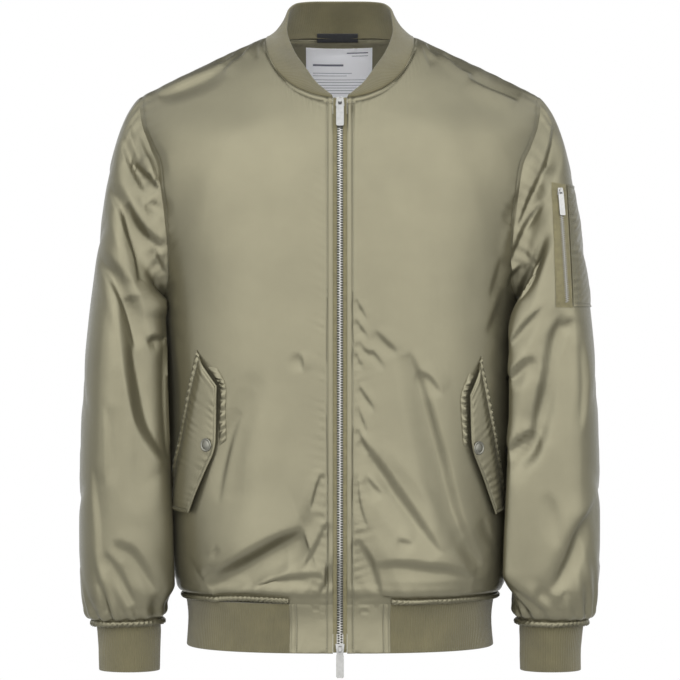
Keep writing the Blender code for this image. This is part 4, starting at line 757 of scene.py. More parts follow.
def rows_of(table):
    return [(view, row) for view, rows in table.items() for row in rows]


def fold_depth(points, normals):
    """How far each point moves along its normal in the broad folds."""
    moved = np.zeros(len(points))
    for view, row in rows_of(FOLDS):
        x0, z0, x1, z1, bow, wide, deep = np.array(row) / 1000
        t = np.linspace(0, 1, FOLD_STEPS)[:, None]
        start, end = np.array([x0, z0]), np.array([x1, z1])
        sideways = np.array([z0 - z1, x1 - x0]) / math.hypot(x1 - x0, z1 - z0)
        line = start * (1 - t) + end * t + sideways * bow * 4 * t * (1 - t)
        where, along, away, _ = beside_line(points, normals, view, line, wide)
        ends = np.sin(math.pi * (along * 0.86 + 0.07)) ** 0.7
        moved[where] += deep * bell(away / wide) * ends * facing_share(normals[where], view, 0.35)
    return moved


def crease_depth(points, normals):
    """The same for the creases: one steep face, from a trough up to the ridge beside it."""
    moved = np.zeros(len(points))
    for view, (deep, wide, lift, path) in rows_of(CREASES):
        line = spline(np.array(path, float) / 1000)
        deep, wide, lift = CRISP * deep / 1000, NARROW * wide / 1000, CRISP * lift / 1000
        where, along, away, side = beside_line(points, normals, view, line, wide * REACH)
        taper = np.sin(math.pi * np.clip(along, 0, 1)) ** 0.6
        across = away * side * math.copysign(1.0, lift)
        face = wide * FACE_HALF * (0.55 + 0.45 * taper)
        flank = wide * FLANK * (0.7 + 0.3 * taper)
        low = -deep * (1 - smooth((-across - face) / flank))
        high = abs(lift) * (1 - smooth((across - face) / flank))
        climb = np.clip(across / face / 2 + 0.5, 0, 1)
        climb = 0.65 * climb + 0.35 * (0.5 - 0.5 * np.cos(math.pi * climb))
        shape = (low * (1 - climb) + high * climb) * taper
        moved[where] += shape * facing_share(normals[where], view, 0.30)
    return moved


# ---------------------------------------------------------------- gathers, rolls and lumps
HEM_ROLL = 0.0068            # height of the rolled seam edge above the ribs
NECK_STITCH = 0.0068         # rows of stitching: how far they run from their seams
ARM_STITCH = 0.0050
ZIP_STITCH = 0.0066
ZIP_PUCKER = 0.0062
TAB_STITCH = (0.0068, 0.0072)      # beside the zip, and beside the rib
FLAP_STITCH = 0.0074
RIM_STITCH = 0.0034
PATCH_STITCH = 0.0082

# Small gathers: pitch, how far from their seam they run, and height.
GATHERS = {
    "neck": (0.0088, 0.018, 0.0007),
    "shoulder": (0.0210, 0.030, 0.0003),
    "front_arm": (0.0150, 0.022, 0.0005),
    "back_arm": (0.0150, 0.022, 0.0006),
    "side": (0.0210, 0.020, 0.0006),
    "front_hem": (0.0190, 0.022, 0.0004),
    "back_hem": (0.0170, 0.030, 0.0009),
    "zip": (0.0100, 0.014, 0.0007),
    "sleeve_top": (0.0160, 0.026, 0.0006),
    "inner_arm": (0.0170, 0.020, 0.0004),
    "wrist": (0.0135, 0.040, 0.0027),
    "tab_zip": (0.0060, 0.010, 0.0005),
    "tab_foot": (0.0130, 0.016, 0.0003),
    "flap_seam": (0.0075, 0.014, 0.0007),
    "flap_rim": (0.0090, 0.008, 0.00035),
    "patch": (0.0085, 0.016, 0.0008),
    "lining": (0.0085, 0.020, 0.0011),
}
# Rolls, and stitched grooves, along an edge: distance from it, half width, height.
BEADS = {
    "over_rib": ((0.016, 0.009, 0.0012), (HEM_ROLL + 0.001, 0.003, -0.0010)),
    "neck": ((0.0034, 0.0036, 0.0012), (NECK_STITCH, 0.0022, -0.0013)),
    "armhole": ((ARM_STITCH, 0.0022, -0.0005),),
    "zip": ((0.0032, 0.0036, 0.0010), (ZIP_STITCH, 0.0022, -0.0010)),
    "tab_zip": ((0.0030, 0.0040, 0.0006), (TAB_STITCH[0], 0.0016, -0.0008)),
    "tab_rib": ((0.0034, 0.0026, 0.0009), (TAB_STITCH[1], 0.0014, -0.0010)),
    "tab_top": ((0.0, 0.0016, -0.0004),),
    "flap_rim": ((0.0013, 0.0016, 0.0011), (RIM_STITCH, 0.0013, -0.0011)),
    "flap_seam": ((FLAP_STITCH, 0.0013, -0.0009),),
    "patch_rim": ((0.0012, 0.0018, 0.0007), (RIM_STITCH, 0.0015, -0.0006)),
    "patch_front": ((0.0060, 0.0020, 0.0006), (PATCH_STITCH, 0.0015, -0.0006)),
}
# How deep the cloth turns in towards its seams, and over what distance.
SINKS = {"neck": 0.0007, "front_side": 0.0008, "back_side": 0.0012, "sleeve": 0.0008, "inner_arm": 0.0010}
SINK_REACH = 0.0045
# Slow unevenness of a cloth: size of the lumps in x, y and z, seed, height.
LUMPS = {
    "broad": ((0.050, 0.060, 0.170), 1, 0.0011),
    "middle": ((0.024, 0.026, 0.080), 2, 0.00022),
    "fine": ((0.011, 0.011, 0.024), 3, 0.00003),
    "collar": ((0.030, 0.030, 0.016), 9, 0.0007),
    "hem": ((0.050, 0.050, 0.030), 12, 0.0009),
    "tab": ((0.016, 0.016, 0.012), 13, 0.0005),
    "cuff_right": ((0.022, 0.022, 0.030), 14, 0.0009),
    "cuff_left": ((0.022, 0.022, 0.030), 16, 0.0009),
    "flap": ((0.020, 0.020, 0.030), 17, 0.0005),
    "patch": ((0.040, 0.040, 0.022), 24, 0.0010),
    "patch_ripple": ((0.020, 0.020, 0.020), 21, 0.45),
    "lining": ((0.020, 0.020, 0.030), 22, 0.0004),
}


def gathers(along, away, kind, seed, lean=0.0):
    """Small gathers that stand off a seam: none on the seam, most a little way in."""
    pitch, reach, amount = GATHERS[kind]
    line = along + lean * away
    wander = 0.55 * wave(line / (pitch * 2.7), seed)
    size = 0.60 + 0.40 * wave(line / (pitch * 1.9), seed + 7)
    peak = reach * (0.32 + 0.16 * wave(line / (pitch * 1.3), seed + 3))
    height = np.cos(2 * math.pi * (line / pitch + wander))
    rise = np.clip(away / peak, 0, None)
    return amount * size * height * rise * np.exp(1 - rise)


def beads(away, kind):
    return sum(high * bell((away - place) / half) for place, half, high in BEADS[kind])


def lumps(points, kind):
    size, seed, high = LUMPS[kind]
    return high * mottle(points, size, seed)


def past(away, distance):
    """How far beyond a distance from an edge each point lies."""
    return np.clip(away - distance, 0, None)


def seam_sink(away, kind):
    """The cloth turns in towards its stitching."""
    return -SINKS[kind] * np.exp(-((away / SINK_REACH) ** 2))


class Edges:
    """Distance of every point of a grid from its four edges, and the place along them."""

    def __init__(self, grid):
        down = np.linalg.norm(np.diff(grid, axis=0), axis=2)
        across = np.linalg.norm(np.diff(grid, axis=1), axis=2)
        self.top = np.concatenate([np.zeros((1, grid.shape[1])), np.cumsum(down, axis=0)])
        self.bottom = self.top[-1:] - self.top
        self.left = np.concatenate([np.zeros((grid.shape[0], 1)), np.cumsum(across, axis=1)], axis=1)
        self.right = self.left[:, -1:] - self.left
        self.row = lambda index: lengths(grid[index])[None, :]
        self.col = lambda index: lengths(grid[:, index])[:, None]

    def rim(self):
        return np.minimum.reduce([self.left, self.right, self.top, self.bottom])


def neck_band(away, seed):
    """The padded edge beside the collar, its stitched groove, and the puckers beyond it."""
    return beads(away.top, "neck") + gathers(away.row(0), past(away.top, NECK_STITCH), "neck", seed)


def arm_and_side(moved, far, line, z, kind, seed):
    """Gathers along a panel's armhole, and below it along its side seam."""
    arm = gathers(line, far, kind, seed) * smooth((z + 0.32) / 0.02)
    moved[: ARM_CELLS + 1] += arm[: ARM_CELLS + 1]
    moved[ARM_CELLS:] += gathers(line, far, "side", seed + 1)[ARM_CELLS:]


def front_gathers(grid, seed, busy):
    """Gathers of a front; busy is how much of them there is beside the zip."""
    away = Edges(grid)
    z = grid[..., 2]
    neck = grid.shape[1] - 1 - SHOULDER_CELLS
    moved = seam_sink(away.top, "neck") + seam_sink(away.right, "front_side")
    moved[:, :neck] += neck_band(away, seed)[:, :neck]
    moved[:, neck:] += gathers(away.row(0), away.top, "shoulder", seed + 1)[:, neck:]
    arm_and_side(moved, away.right, away.col(-1), z, "front_arm", seed + 2)
    moved[: ARM_CELLS + 1] += beads(away.right, "armhole")[: ARM_CELLS + 1]
    moved += gathers(away.row(-1), past(away.bottom, HEM_ROLL), "front_hem", seed + 4, 0.60)
    pucker = gathers(away.col(0), past(away.left, ZIP_PUCKER), "zip", seed + 5, 0.35)
    strength = busy * smooth((-0.27 - z) / 0.10) + 0.30
    return moved + beads(away.bottom, "over_rib") + beads(away.left, "zip") + pucker * strength


def back_gathers(grid, seed):
    """The same for the back."""
    away = Edges(grid)
    cols = grid.shape[1]
    moved = seam_sink(away.top, "neck")
    moved = moved + seam_sink(away.left, "back_side") + seam_sink(away.right, "back_side")
    neck = slice(SHOULDER_CELLS, cols - SHOULDER_CELLS)
    moved[:, neck] += neck_band(away, seed)[:, neck]
    for part in (slice(0, SHOULDER_CELLS), slice(cols - SHOULDER_CELLS, cols)):
        moved[:, part] += gathers(away.row(0), away.top, "shoulder", seed + 1)[:, part]
    for far, line, number in ((away.left, away.col(0), 2), (away.right, away.col(-1), 4)):
        arm_and_side(moved, far, line, grid[..., 2], "back_arm", seed + number)
    moved += gathers(away.row(-1), past(away.bottom, HEM_ROLL), "back_hem", seed + 6, -0.25)
    return moved + beads(away.bottom, "over_rib")


def sleeve_gathers(grid, seed):
    """Gathers at the armhole and the wrist, and the seam along the inside of the arm."""
    away = Edges(np.concatenate([grid, grid[:, :1]], axis=1))
    top, bottom, round_arm = away.top[:, :-1], away.bottom[:, :-1], away.left[:, :-1]
    seam = np.abs(round_arm - round_arm[:, AROUND // 2][:, None])
    moved = gathers(away.row(0)[:, :-1], top, "sleeve_top", seed) + seam_sink(top, "sleeve")
    moved += gathers(away.row(-1)[:, :-1], past(bottom, HEM_ROLL), "wrist", seed + 1, 0.20)
    moved += seam_sink(seam, "inner_arm") + gathers(top, seam, "inner_arm", seed + 2)
    return moved + beads(bottom, "over_rib")


# ---------------------------------------------------------------- cloth
def quads(rows, cols, closed):
    """Corners of a grid's cells, counter-clockwise as seen from outside."""
    index = np.arange(rows * cols).reshape(rows, cols)
    right = np.roll(index, -1, axis=1)
    last = cols if closed else cols - 1
    corners = (index[:-1], index[1:], right[1:], right[:-1])
    return np.stack([c[:, :last] for c in corners], axis=-1).reshape(-1, 4)


class Cloth:
    """The grids of the sewn walls, which share the points of their seams."""

    def __init__(self):
        self.grids, self.closed = {}, {}

    def add(self, name, grid, closed=False):
        self.grids[name] = np.array(grid, float)
        self.closed[name] = closed

    def join(self):
        stack = np.concatenate([g.reshape(-1, 3) for g in self.grids.values()])
        rounded = np.round(stack, 6)
        _, first, inverse = np.unique(rounded, axis=0, return_index=True, return_inverse=True)
        self.points = stack[first]
        self.index, start = {}, 0
        for name, grid in self.grids.items():
            count = grid.shape[0] * grid.shape[1]
            self.index[name] = inverse.reshape(-1)[start : start + count].reshape(grid.shape[:2])
            start += count
        self.cells = np.concatenate([
            index.reshape(-1)[quads(*index.shape, self.closed[name])]
            for name, index in self.index.items()
        ])
        self.base = {name: self.points[index].copy() for name, index in self.index.items()}
        self.turn_out()

    def turn_out(self):
        """Works out the way out at each point."""
        corners = self.points[self.cells]
        facing = np.cross(corners[:, 2] - corners[:, 0], corners[:, 3] - corners[:, 1])
        total = np.zeros_like(self.points)
        for i in range(4):
            np.add.at(total, self.cells[:, i], facing)
        self.out = unit(total)

    def push(self, moved):
        self.points = self.points + self.out * moved[:, None]
        self.turn_out()

    def spread(self, moved):
        """One value for each shared point, from values on the grids: their mean."""
        total, count = np.zeros(len(self.points)), np.zeros(len(self.points))
        for name, index in self.index.items():
            np.add.at(total, index.reshape(-1), moved[name].reshape(-1))
            np.add.at(count, index.reshape(-1), 1.0)
        return total / count

    def panel(self, name):
        index = self.index[name]
        return self.points[index], self.out[index], self.closed[name]


CALM = 0.12                  # share of the small relief that is left under the sleeve's zip,
CALM_RIM = 0.004             # how far round its tape,
CALM_FADE = 0.020            # and over what distance it comes back


def beside_sleeve_zip(points):
    """Nearly 0 on the sleeve's zip, where the cloth lies flat under its tape, else 1."""
    (x0, z0), (x1, z1) = SLEEVE_ZIP_TAPE[0], SLEEVE_ZIP_TAPE[2]
    low, high = np.array([x0, z1]) - CALM_RIM, np.array([x1, z0]) + CALM_RIM
    seen = points[:, [0, 2]]
    off = np.maximum(np.maximum(low - seen, seen - high), 0)
    far = smooth(np.linalg.norm(off, axis=1) / CALM_FADE)
    on_front = (points[:, 1] < -0.02) & (points[:, 0] > 0.2)
    return np.where(on_front, CALM + (1 - CALM) * far, 1.0)


def build_cloth():
    """The five sewn walls: drafted, folded, creased and gathered."""
    cloth = Cloth()
    left = front_grid()
    back = back_grid(left)
    cloth.add("front_left", left)
    cloth.add("front_right", (left * MIRROR)[:, ::-1])
    cloth.add("back", back)
    sleeve_left = sleeve_grid(left, back, 1)
    sleeve_right = sleeve_grid(left, (back * MIRROR)[:, ::-1], -1) * MIRROR
    # both sleeves turn anticlockwise as seen from their outside, like every grid
    cloth.add("sleeve_left", np.roll(sleeve_left[:, ::-1], 1, axis=1), closed=True)
    cloth.add("sleeve_right", sleeve_right, closed=True)
    cloth.join()
    base = cloth.base
    cloth.push(fold_depth(cloth.points, cloth.out))
    calm = beside_sleeve_zip(cloth.points)
    cloth.push(crease_depth(cloth.points, cloth.out) * calm)
    small = {
        "front_left": front_gathers(base["front_left"], 11, 0.6),
        "front_right": front_gathers(base["front_right"][:, ::-1], 23, 0.5)[:, ::-1],
        "back": back_gathers(base["back"], 31),
        "sleeve_left": sleeve_gathers(base["sleeve_left"], 41),
        "sleeve_right": sleeve_gathers(base["sleeve_right"], 53),
    }
    uneven = sum(lumps(cloth.points, kind) for kind in ("broad", "middle", "fine"))
    cloth.push((cloth.spread(small) + uneven) * calm)
    return cloth


# ---------------------------------------------------------------- meshes
def border(rows, cols, closed):
    """Points round the open edges of a grid, in order."""
    index = np.arange(rows * cols).reshape(rows, cols)
    if closed:
        return [index[0], index[-1][::-1]]
    return [np.concatenate([index[0, :-1], index[:-1, -1], index[-1, :0:-1], index[:0:-1, 0]])]


def add_mesh(name, verts, faces, finishes, which=None, sharp=None):
    """Smooth mesh object that rides on the garment; which gives each face's finish."""
    mesh = bpy.data.meshes.new(name)
    mesh.from_pydata(np.asarray(verts).tolist(), [], [list(map(int, f)) for f in faces])
    for finish in finishes:
        mesh.materials.append(LOOKS[finish])
    if which is not None:
        mesh.polygons.foreach_set("material_index", np.asarray(which, np.int32))
    mesh.shade_smooth()
    if sharp:
        mesh.set_sharp_from_angle(angle=math.radians(sharp))
    mesh.update()
    thing = bpy.data.objects.new(name, mesh)
    bpy.context.scene.collection.objects.link(thing)
    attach(thing, "garment")
    return thing


def wall(name, outer, inner, closed, finishes, sharp=55):
    """Closed wall between two grids of points, the outer one facing out."""
    rows, cols = outer.shape[:2]
    count = rows * cols
    skin = quads(rows, cols, closed)
    faces = skin.tolist() + (skin[:, ::-1] + count).tolist()
    which = [0] * len(skin) + [len(finishes) - 1] * len(skin)
    for ring in border(rows, cols, closed):
        after = np.roll(ring, -1)
        sides = np.stack([ring, after, after + count, ring + count], axis=-1)
        faces += sides.tolist()
        which += [0] * len(sides)
    verts = np.concatenate([outer.reshape(-1, 3), inner.reshape(-1, 3)])
    return add_mesh(name, verts, faces, finishes, which, sharp)


def patch_piece(name, top, low, direction, finish):
    """Thin closed piece between two grids, whichever way round they run."""
    middle = grid_normals(top)[top.shape[0] // 2, top.shape[1] // 2]
    if middle @ direction < 0:
        top, low = top[:, ::-1], low[:, ::-1]
    return wall(name, top, low, False, [finish], sharp=60)


def loft(name, sections, finish, closed=False, sharp=None):
    """Solid swept through closed sections: (section points, stations, 3)."""
    around, count = sections.shape[:2]
    index = np.arange(around * count).reshape(around, count)
    below = np.roll(index, -1, axis=0)
    right = np.roll(index, -1, axis=1)
    below_right = np.roll(below, -1, axis=1)
    last = count if closed else count - 1
    cells = np.stack([index, below, below_right, right], axis=-1)[:, :last].reshape(-1, 4)
    faces = cells.tolist()
    if not closed:
        faces += [index[:, 0][::-1].tolist(), index[:, -1].tolist()]
    return add_mesh(name, sections.reshape(-1, 3), faces, [finish], None, sharp)


def grid_normals(grid):
    """Way out at each point of a grid."""
    return unit(np.cross(np.gradient(grid, axis=0), np.gradient(grid, axis=1)))


SHEET_WIDTH = 0.0105         # least width of a sheet, and least share of its rectangle
SHEET_SHARE = 0.31


def declare(thing, grid, closed):
    """Declares a piece of cloth, cut as wide and long as it is at its widest and longest."""
    if closed:
        grid = np.concatenate([grid, grid[:, :1]], axis=1)
    wide = max(SHEET_WIDTH, *(lengths(row)[-1] for row in grid))
    long = max(lengths(col)[-1] for col in np.swapaxes(grid, 0, 1))
    across = grid[1:, 1:] - grid[:-1, :-1]
    down = grid[1:, :-1] - grid[:-1, 1:]
    area = float(np.linalg.norm(np.cross(across, down), axis=2).sum() / 2)
    area = np.clip(area, SHEET_SHARE * wide * long, wide * long)
    print(f"sheet {thing.name}: {wide * 1000:.0f} x {long * 1000:.0f} mm, {area * 1e4:.0f} cm2")


# ---------------------------------------------------------------- materials
class Look:
    """A procedural material and short ways to add to it."""

    def __init__(self, name, roughness, metallic=0.0, **sockets):
        self.material = bpy.data.materials.new(name)
        self.material.use_nodes = True
        self.nodes = self.material.node_tree.nodes
        self.links = self.material.node_tree.links
        self.shader = self.nodes["Principled BSDF"]
        self.place = self.nodes.new("ShaderNodeTexCoord").outputs["Object"]
        self.bump = None
        sockets = {"Roughness": roughness, "Metallic": metallic, **sockets}
        for socket, value in sockets.items():
            self.shader.inputs[socket.replace("_", " ")].default_value = value

    def node(self, kind, place=None, **sockets):
        """A node with values in its sockets, fed by a place where one is given."""
        node = self.nodes.new("ShaderNode" + kind)
        for socket, value in sockets.items():
            node.inputs[socket.replace("_", " ")].default_value = value
        if place:
            self.links.new(place, node.inputs["Vector"])
        return node

    def scaled(self, scale):
        return self.node("Mapping", self.place, Scale=scale).outputs["Vector"]

    def noise(self, scale, detail=3.0, rough=0.5, place=None):
        place = place or self.place
        return self.node("TexNoise", place, Scale=scale, Detail=detail, Roughness=rough).outputs["Fac"]

    def bands(self, scale, direction, distortion=0.0):
        node = self.node("TexWave", self.place, Scale=scale, Distortion=distortion)
        node.bands_direction = direction
        return node.outputs["Fac"]

    def weave(self, scale):
        return self.math("MAXIMUM", self.bands(scale, "Z"), self.bands(scale, "X"))

    def math(self, operation, a, b, third=None):
        node = self.node("Math")
        node.operation = operation
        for socket, value in zip(node.inputs, (a, b)):
            if isinstance(value, (int, float)):
                socket.default_value = value
            else:
                self.links.new(value, socket)
        if third is not None:
            node.inputs[2].default_value = third
        return node.outputs[0]

    def colours(self, fac, low, high):
        """Blends between two stops, each a place and a colour."""
        node = self.node("ValToRGB")
        for element, (place, colour) in zip(node.color_ramp.elements, (low, high)):
            element.position, element.color = place, (*colour, 1)
        self.links.new(fac, node.inputs["Fac"])
        self.links.new(node.outputs["Color"], self.shader.inputs["Base Color"])

    def clouded(self, colour, dark, pale, fac, low=0.30, high=0.70):
        """The colour, from somewhat darker to somewhat paler."""
        ends = [tuple(c * share for c in colour) for share in (dark, pale)]
        self.colours(fac, (low, ends[0]), (high, ends[1]))

    def roughness(self, fac, low, high):
        node = self.node("MapRange", To_Min=low, To_Max=high)
        self.links.new(fac, node.inputs["Value"])
        self.links.new(node.outputs["Result"], self.shader.inputs["Roughness"])

    def relief(self, height, distance, strength=1.0):
        node = self.node("Bump", Distance=distance, Strength=strength)
        self.links.new(height, node.inputs["Height"])
        if self.bump:
            self.links.new(self.bump, node.inputs["Normal"])
        self.bump = node.outputs["Normal"]
        self.links.new(self.bump, self.shader.inputs["Normal"])


def satin(name, colour, roughness, gloss):
    """Twilled nylon satin with a soft, slightly streaky sheen."""
    look = Look(name, roughness, gloss)
    look.clouded(colour, 0.93, 1.06, look.noise(14, 4, 0.55))
    streaks = look.noise(1.0, 3, 0.6, look.scaled((260, 260, 22)))
    look.roughness(streaks, roughness - 0.05, roughness + 0.06)
    look.relief(look.bands(1500, "DIAGONAL"), 0.00004, 0.5)
    look.relief(look.noise(260, 3, 0.6), 0.00012, 0.5)
    look.relief(look.noise(1.0, 2, 0.5, look.scaled((60, 60, 16))), 0.0005, 0.35)
    return look.material


def knit(name, colour):
    """Matt rib yarn, with its stitches as relief."""
    look = Look(name, 0.86, Sheen_Weight=0.25, Sheen_Roughness=0.5)
    look.clouded(colour, 0.84, 1.14, look.noise(30, 4, 0.6), 0.28, 0.72)
    look.roughness(look.noise(300, 2), 0.80, 0.95)
    look.relief(look.noise(900, 3, 0.7), 0.00025, 0.7)
    look.relief(look.bands(900, "Z", 2.0), 0.00010, 0.6)
    return look.material


def woven(name, colour, roughness=0.75, scale=1400):
    """Plain woven tape or thread."""
    look = Look(name, roughness, Sheen_Weight=0.1)
    look.clouded(colour, 0.82, 1.15, look.noise(160, 4, 0.6))
    look.roughness(look.noise(500, 2), roughness - 0.08, roughness + 0.08)
    look.relief(look.weave(scale), 0.00012, 0.8)
    return look.material


def polished(name, colour, roughness):
    """Metal, worn a little."""
    look = Look(name, roughness, 1.0)
    look.clouded(colour, 0.88, 1.0, look.noise(220, 3), 0.35, 0.65)
    look.roughness(look.noise(700, 3, 0.7), roughness - 0.06, roughness + 0.12)
    look.relief(look.noise(500, 2), 0.00002, 0.15)
    return look.material


LABEL_WHITE = (0.97, 0.97, 1.0)
LABEL_INK = (0.16, 0.16, 0.20)
LABEL_RULES = (              # height, half thickness, from, to
    (-0.0105, 0.0006, 0.008, 0.033),
    (-0.0138, 0.0003, 0.014, 0.033),
    (-0.0240, 0.0011, -0.032, 0.004),
    (-0.0330, 0.0003, -0.032, 0.014),
    (-0.0360, 0.0003, -0.032, 0.008),
    (-0.0405, 0.0003, -0.032, 0.031),
    (-0.0436, 0.0003, -0.032, 0.033),
    (-0.0467, 0.0003, -0.032, 0.030),
    (-0.0498, 0.0003, -0.032, 0.032),
    (-0.0529, 0.0003, -0.032, 0.024),
    (-0.0560, 0.0003, -0.032, 0.030),
)


def printed(name):
    """White satin label with thin grey rules and nothing to read."""
    look = Look(name, 0.55, Sheen_Weight=0.1)
    parts = look.node("SeparateXYZ")
    look.links.new(look.place, parts.inputs[0])
    ink = look.math("MULTIPLY", look.noise(60, 3), 0.06)
    rules = None
    for z, half, x0, x1 in LABEL_RULES:
        near = look.math("COMPARE", parts.outputs["Z"], z, half)
        inside = look.math("COMPARE", parts.outputs["X"], (x0 + x1) / 2, (x1 - x0) / 2)
        rule = look.math("MULTIPLY", near, inside)
        rules = look.math("MAXIMUM", rules, rule) if rules else rule
    look.colours(look.math("ADD", rules, ink), (0.0, LABEL_WHITE), (1.0, LABEL_INK))
    look.relief(look.weave(1800), 0.00005, 0.6)
    look.relief(look.noise(45, 2), 0.0008, 0.4)
    return look.material


SHELL_COLOUR = (0.151, 0.1385, 0.0905)
LOOKS = {
    "shell": satin("shell_satin", SHELL_COLOUR, 0.32, 0.70),
    "lining": satin("lining_satin", tuple(c * 1.5 for c in SHELL_COLOUR), 0.50, 0.10),
    "rib": knit("rib_knit", (0.079, 0.0680, 0.0300)),
    "tape": woven("zip_tape", (0.120, 0.104, 0.048)),
    "metal": polished("zip_metal", (0.27, 0.267, 0.256), 0.30),
    # the zip's backing: the tape's weave, much darker than the tape, as painted shade seen between the
    # teeth
    "backing_shade": woven("zip_backing_painted_shade", (0.034, 0.030, 0.017)),
    "label": printed("label_satin"),
    "loop": woven("loop_twill", (0.012, 0.012, 0.014), 0.70, 700),
    "thread": woven("sewing_thread", (0.120, 0.114, 0.078), 0.62, 2600),
    "teeth": polished("teeth_metal", (0.46, 0.45, 0.42), 0.30),
    "snap": polished("snap_metal", (0.20, 0.195, 0.165), 0.38),
}


# ---------------------------------------------------------------- shell
def wall_depth(points):
    """Thickness of the shell, which is thinner where four pieces meet under the arm."""
    underarm = np.array([half_width(UNDERARM_Z), 0, UNDERARM_Z])
    away = np.linalg.norm(np.abs(points) * [1, 1, -1] - underarm, axis=-1, keepdims=True)
    return SHELL * (UNDERARM_THIN + (1 - UNDERARM_THIN) * smooth(away / UNDERARM_REACH))


SHELL_RESTS = {
    "front_left": ["back", "collar"],
    "front_right": ["back", "collar"],
    "back": ["collar", "front_left"],
    "sleeve_left": ["front_left", "back"],
    "sleeve_right": ["front_right", "back"],
}


def add_shell(cloth):
    for name, others in SHELL_RESTS.items():
        points, out, closed = cloth.panel(name)
        thing = wall("shell_" + name, points, points - out * wall_depth(points), closed,
                     ["shell", "lining"])
        if "sleeve" in name:
            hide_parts(name, "under_" + name)
        else:
            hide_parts(name)
        declare(thing, cloth.base[name], closed)


# ---------------------------------------------------------------- rib knit
WALE_ENDS = 0.10             # share of a band over which its wales rise and fade


def ribbed(grid, out, pitch, height):
    """Lifts a grid into the wales of a rib knit, flat at its first row."""
    line = lengths(grid[len(grid) // 2])
    count = max(1, round(line[-1] / pitch))
    wales = 0.5 + 0.5 * np.cos(2 * math.pi * count * line / line[-1])
    fade = smooth(np.linspace(0, 1, len(grid)) / WALE_ENDS)[:, None]
    return grid + out * (wales * height * fade)[..., None]


def slack(rows, kind):
    """Unevenness of a band, most in its middle row."""
    return (lumps(rows, kind) * np.sin(np.linspace(0, math.pi, len(rows)))[:, None])[..., None]


def banded(outer, out, thick, fold_rows=5):
    """Closed sections of a doubled band: up the outside, round the fold, down the inside."""
    half = np.broadcast_to(thick, outer.shape[:2] + (1,))[-1] / 2
    last = outer[-1] - out[-1] * half
    beyond = unit(outer[-1] - outer[-2])
    turn = np.linspace(0, math.pi, fold_rows + 2)[1:-1]
    folds = [last + out[-1] * half * math.cos(a) + beyond * half * math.sin(a) for a in turn]
    return np.concatenate([outer, np.array(folds), (outer - out * thick)[::-1]])


def widened(grid, count, closed=False):
    """The grid with more columns, evenly spaced along it, by smooth interpolation."""
    ring = np.concatenate([grid, grid[:, :1]], axis=1) if closed else grid
    walked = lengths(ring[len(ring) // 2])
    want = np.linspace(0, walked[-1], count + 1)
    slope = np.gradient(ring, walked, axis=1)
    i = np.clip(np.searchsorted(walked, want) - 1, 0, len(walked) - 2)
    step = (walked[i + 1] - walked[i])[None, :, None]
    t = ((want - walked[i]) / (walked[i + 1] - walked[i]))[None, :, None]
    a, b = ring[:, i], ring[:, i + 1]
    p, q = slope[:, i] * step, slope[:, i + 1] * step
    made = ((1 + 2 * t) * (1 - t) ** 2 * a + t**2 * (3 - 2 * t) * b
            + t * (1 - t) ** 2 * p - t**2 * (1 - t) * q)
    return made[:, :-1] if closed else made


COLLAR_TUCK = 0.0006         # the collar's outside starts this far inside the neck seam,
COLLAR_LAP = 0.0030          # and its inside laps down over the back of it
COLLAR_ROWS, COLLAR_POINTS, COLLAR_WALE = 16, 721, (0.0026, 0.00035)
HEM_ROWS, HEM_POINTS, HEM_WALE = 8, 1600, (0.0030, 0.0004)
TAB_ROWS, TAB_POINTS = 22, 60
CUFF_ROWS, CUFF_POINTS, CUFF_WALE = 12, 432, (0.0028, 0.0004)
BAND_SHARP = 70


def collar_rows(cloth):
    """Collar surface, rows from the neck seam up to the fold, and the share of the way back."""
    front = cloth.base["front_left"][0, :-SHOULDER_CELLS]
    back = cloth.base["back"][0, SHOULDER_CELLS : SHOULDER_CELLS + BACK_NECK_CELLS + 1]
    seam = resampled(np.concatenate([front, back[1:-1], (front * MIRROR)[::-1]]), COLLAR_POINTS)
    walked = lengths(seam)
    share = 1 - np.abs(2 * walked / walked[-1] - 1)
    side = np.sign(COLLAR_POINTS // 2 - np.arange(COLLAR_POINTS))
    top = np.stack([column(COLLAR_TOP, i)(share) for i in (1, 2, 3)], axis=-1)
    top[:, 0] *= side
    rise = np.linalg.norm(top - seam, axis=1, keepdims=True)
    outward = unit(seam * np.array([1, 1, 0]))
    rows = []
    for v in np.linspace(1, 0, COLLAR_ROWS):
        bulge = COLLAR_BULGE * math.sin(math.pi * v) * rise / COLLAR_HIGH
        rows.append(top * (1 - v) + seam * v + outward * bulge)
    return np.array(rows), share


def add_collar(cloth):
    rows, share = collar_rows(cloth)
    out = -grid_normals(rows)
    outer = ribbed(rows + out * slack(rows, "collar"), out, *COLLAR_WALE)
    thick = COLLAR * (0.5 + 0.5 * smooth(share / COLLAR_TAPER))[None, :, None]
    outer[0] -= out[0] * COLLAR_TUCK
    # the fold keeps inside the solid's upper edge
    lower = unit(outer[-2] - outer[-1]) * thick[-1] / 2
    outer[-1] += lower
    outer[-2] += lower * 0.5
    sections = banded(outer, out, thick)
    # inside the back of the neck the rib laps down over its seam
    lap = unit(outer[0] - outer[1]) * (COLLAR_LAP * smooth((share - 0.45) / 0.15))[:, None]
    sections[-1] += lap
    sections[0] += 0.4 * lap
    thing = loft("rib_collar", sections[::-1], "rib", sharp=BAND_SHARP)
    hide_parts("collar")
    declare(thing, rows, False)


